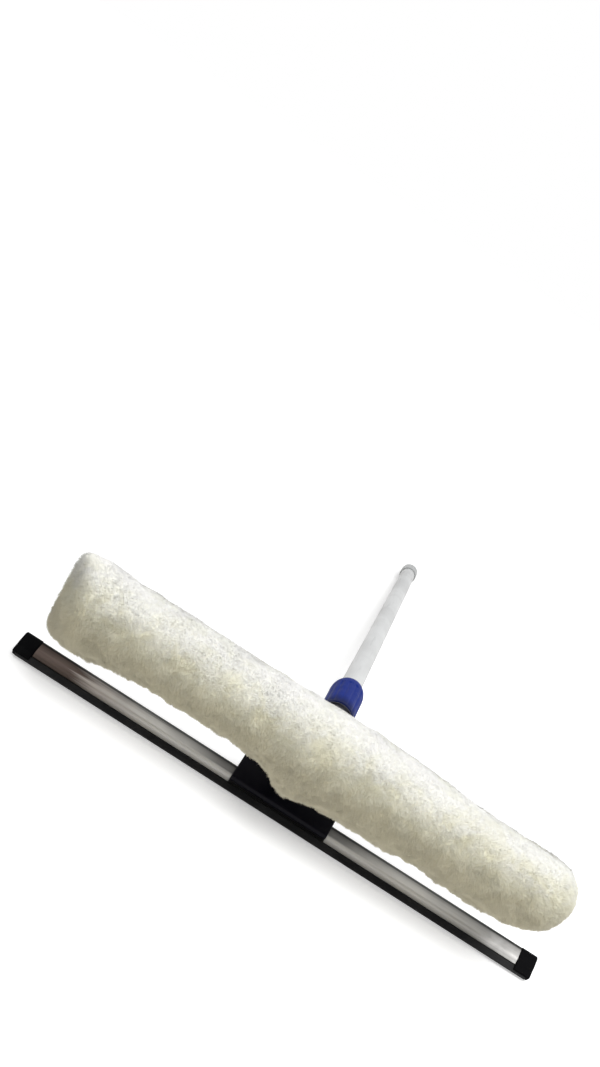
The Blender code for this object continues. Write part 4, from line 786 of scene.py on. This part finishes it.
# All strands at once: roots on the skin and on the slot's walls, then their rise, lean, cones and shading, and last
# the sections, cut along X.
def buildPile(grid, keep, look, parent):
    random = np.random.default_rng(pile["seed"])
    roots = scatterRoots(grid, keep, pile["strands"], random)
    rim = scatterRim(pile["rimStrands"], random)
    out = np.concatenate([outwardAt(roots), rim * (-1.0 / sleeve["slotHalf"], 0.0, 0.0)])
    roots = np.concatenate([roots, rim])
    onRim = np.arange(len(roots)) >= pile["strands"]
    pressed = easeBetween(-roots[:, 0], pile["pressedFrom"], pile["pressedTo"])
    behind = easeBetween(out[:, 1], *pile["backSlope"]) * (1.0 - pressed)
    awayFromSlot = easeBetween(np.abs(roots[:, 0]), *pile["slotClear"])
    middleOut = roots + out * pile["rise"] * 0.6
    centre, spread = nearestCentre(middleOut, pile["clump"], 31)
    rise = strandRise(out, spread, pressed, behind, awayFromSlot, onRim, random)
    lean = strandLean(roots, out, centre - middleOut, pressed, behind, onRim, random)
    points = strandCones(roots, out, rise, lean, pressed, random)
    part = np.broadcast_to(np.array([[0.0, 0.0, 0.0, 1.0]]), points.shape[:2])   # 0 at the root, 1 at the tip
    ownTone = pile["ownTone"] + (1.0 - pile["ownTone"]) * behind
    tone = np.broadcast_to((1.0 - random.random(len(roots)) * ownTone)[:, None], part.shape)
    shaded = np.repeat(strandShading(roots, out, behind, random)[:, None, :], points.shape[1], axis=1)
    triangles = np.array([[0, 1, 3], [1, 2, 3], [2, 0, 3], [2, 1, 0]])
    order = np.argsort(roots[:, 0])
    for number, chosen in enumerate(np.array_split(order, pile["sections"]), 1):
        base = np.arange(len(chosen))[:, None, None] * points.shape[1]
        section = meshPiece(f"fleece_pile_{number}", points[chosen].reshape(-1, 3),
                            [(base + triangles).reshape(-1, 3)], look, parent,
                            {"strandPart": part[chosen].ravel(), "strandTone": tone[chosen].ravel()})
        turned = shaded[chosen].reshape(-1, 3) @ np.array(toolTurn).T
        section.data.normals_split_custom_set_from_vertices(turned.tolist())
    reach = np.linalg.norm(points[:, 3, 1:], axis=1)
    print("pile of", len(roots), "strands, tips from", round(float(np.percentile(reach, 5)) / mm, 1), "to",
          round(float(reach.max()) / mm, 1), "mm off the axis")


fleece = fleeceLook()
backing, backingGrid, backingKeep = buildSkin(fleece)
print("fleece backing made,", len(backing.data.polygons), "faces")
buildPile(backingGrid, backingKeep, fleece, backing)

# Floor, backdrop and light.
studio = {
    "floorHalf": 12.0, "floorColour": (0.66, 0.64, 0.60), "shownColour": (0.88, 0.88, 0.88),
    "glowNear": 0.42, "glowFar": 1.0, "nearEdge": 0.55, "farEdge": 2.2,
    "worldLight": 0.47, "boxPower": 30.0, "boxSize": 1.1, "boxPlace": (0.40, -0.95, 1.75),
    "aim": (0.0, -0.25, 0.05),
}


# One for what the camera, mirrors and glass see, and zero for the light that spreads.
def seenRay(tree):
    path = addNode(tree, "ShaderNodeLightPath")
    seen = addNode(tree, "ShaderNodeMath", {"operation": "MAXIMUM"},
                   at0=path.outputs["Is Camera Ray"], at1=path.outputs["Is Glossy Ray"])
    return addNode(tree, "ShaderNodeMath", {"operation": "MAXIMUM"},
                   at0=seen.outputs[0], at1=path.outputs["Is Transmission Ray"]).outputs[0]


# White for the camera, mirrors and glass, and mid grey for the light that the floor gives back.
def floorLook():
    look, tree, shader = newLook("pale floor")
    seen = seenRay(tree)
    colour = mixColour(tree, seen, studio["floorColour"], studio["shownColour"])
    tree.links.new(colour, shader.inputs["Base Color"])
    place = addNode(tree, "ShaderNodeTexCoord").outputs["Object"]
    distance = addNode(tree, "ShaderNodeVectorMath", {"operation": "LENGTH"}, at0=place).outputs["Value"]
    glow = addNode(tree, "ShaderNodeMapRange", Value=distance, at1=studio["nearEdge"], at2=studio["farEdge"],
                   at3=studio["glowNear"], at4=studio["glowFar"]).outputs["Result"]
    glow = addNode(tree, "ShaderNodeMath", {"operation": "MULTIPLY"}, at0=glow, at1=seen)
    tree.links.new(glow.outputs[0], shader.inputs["Emission Strength"])
    shader.inputs["Emission Color"].default_value = (1.0, 1.0, 1.0, 1.0)
    shader.inputs["Roughness"].default_value = 0.9
    shader.inputs["Specular IOR Level"].default_value = 0.0
    return look


def buildStudio():
    half = studio["floorHalf"]
    mesh = bpy.data.meshes.new("floor")
    mesh.from_pydata([(-half, -half, 0.0), (half, -half, 0.0), (half, half, 0.0), (-half, half, 0.0)], [],
                     [(0, 1, 2, 3)])
    mesh.materials.append(floorLook())
    floor = bpy.data.objects.new("floor", mesh)
    bpy.context.scene.collection.objects.link(floor)
    lamp = bpy.data.lights.new("soft box", "AREA")
    lamp.energy = studio["boxPower"]
    lamp.size = studio["boxSize"]
    box = bpy.data.objects.new("soft box", lamp)
    box.location = studio["boxPlace"]
    box.rotation_euler = (Vector(studio["aim"]) - box.location).to_track_quat("-Z", "Y").to_euler()
    bpy.context.scene.collection.objects.link(box)
    world = bpy.data.worlds.new("studio")
    bpy.context.scene.world = world
    world.use_nodes = True
    tree = world.node_tree
    tree.nodes.clear()
    strength = rangeOf(tree, seenRay(tree), studio["worldLight"], 1.0)
    light = addNode(tree, "ShaderNodeBackground", Color=(1.0, 1.0, 1.0, 1.0), Strength=strength)
    addNode(tree, "ShaderNodeOutputWorld", Surface=light.outputs["Background"])


buildStudio()
print("floor, lamp and world made")

# Camera, fitted to the photograph: place and turn are in the tool's frame.
view = {
    "focal": 1100.0,             # in pixels of the 600 x 1067 picture
    "pictureHigh": 1067.0,
    "axisBelowMiddle": 233.5,    # pixels from the picture's middle down to the optical axis
    "place": (-0.0280, -0.7107, 0.2682),
    "roll": 33.35, "pitch": 22.05, "yaw": -1.95,
}


def buildCamera():
    turn = (Matrix.Rotation(math.radians(view["roll"]), 3, "Z")
            @ Matrix.Rotation(math.radians(view["pitch"]), 3, "X")
            @ Matrix.Rotation(math.radians(view["yaw"]), 3, "Y")
            @ Matrix(((1.0, 0.0, 0.0), (0.0, 0.0, -1.0), (0.0, 1.0, 0.0))))
    # The picture's down and forward become the camera's up and back.
    facing = turn.transposed() @ Matrix.Diagonal((1.0, -1.0, -1.0))
    lens = bpy.data.cameras.new("camera")
    lens.sensor_width = 36.0
    lens.lens = lens.sensor_width * view["focal"] / view["pictureHigh"]
    lens.shift_y = view["axisBelowMiddle"] / view["pictureHigh"]
    lens.clip_start, lens.clip_end = 0.01, 100.0
    camera = bpy.data.objects.new("camera", lens)
    camera.matrix_world = (Matrix.Translation(toolOrigin + toolTurn @ Vector(view["place"]))
                           @ (toolTurn @ facing).to_4x4())
    bpy.context.scene.collection.objects.link(camera)
    bpy.context.scene.camera = camera


buildCamera()
bpy.context.scene.view_settings.view_transform = "Standard"
print("camera placed")
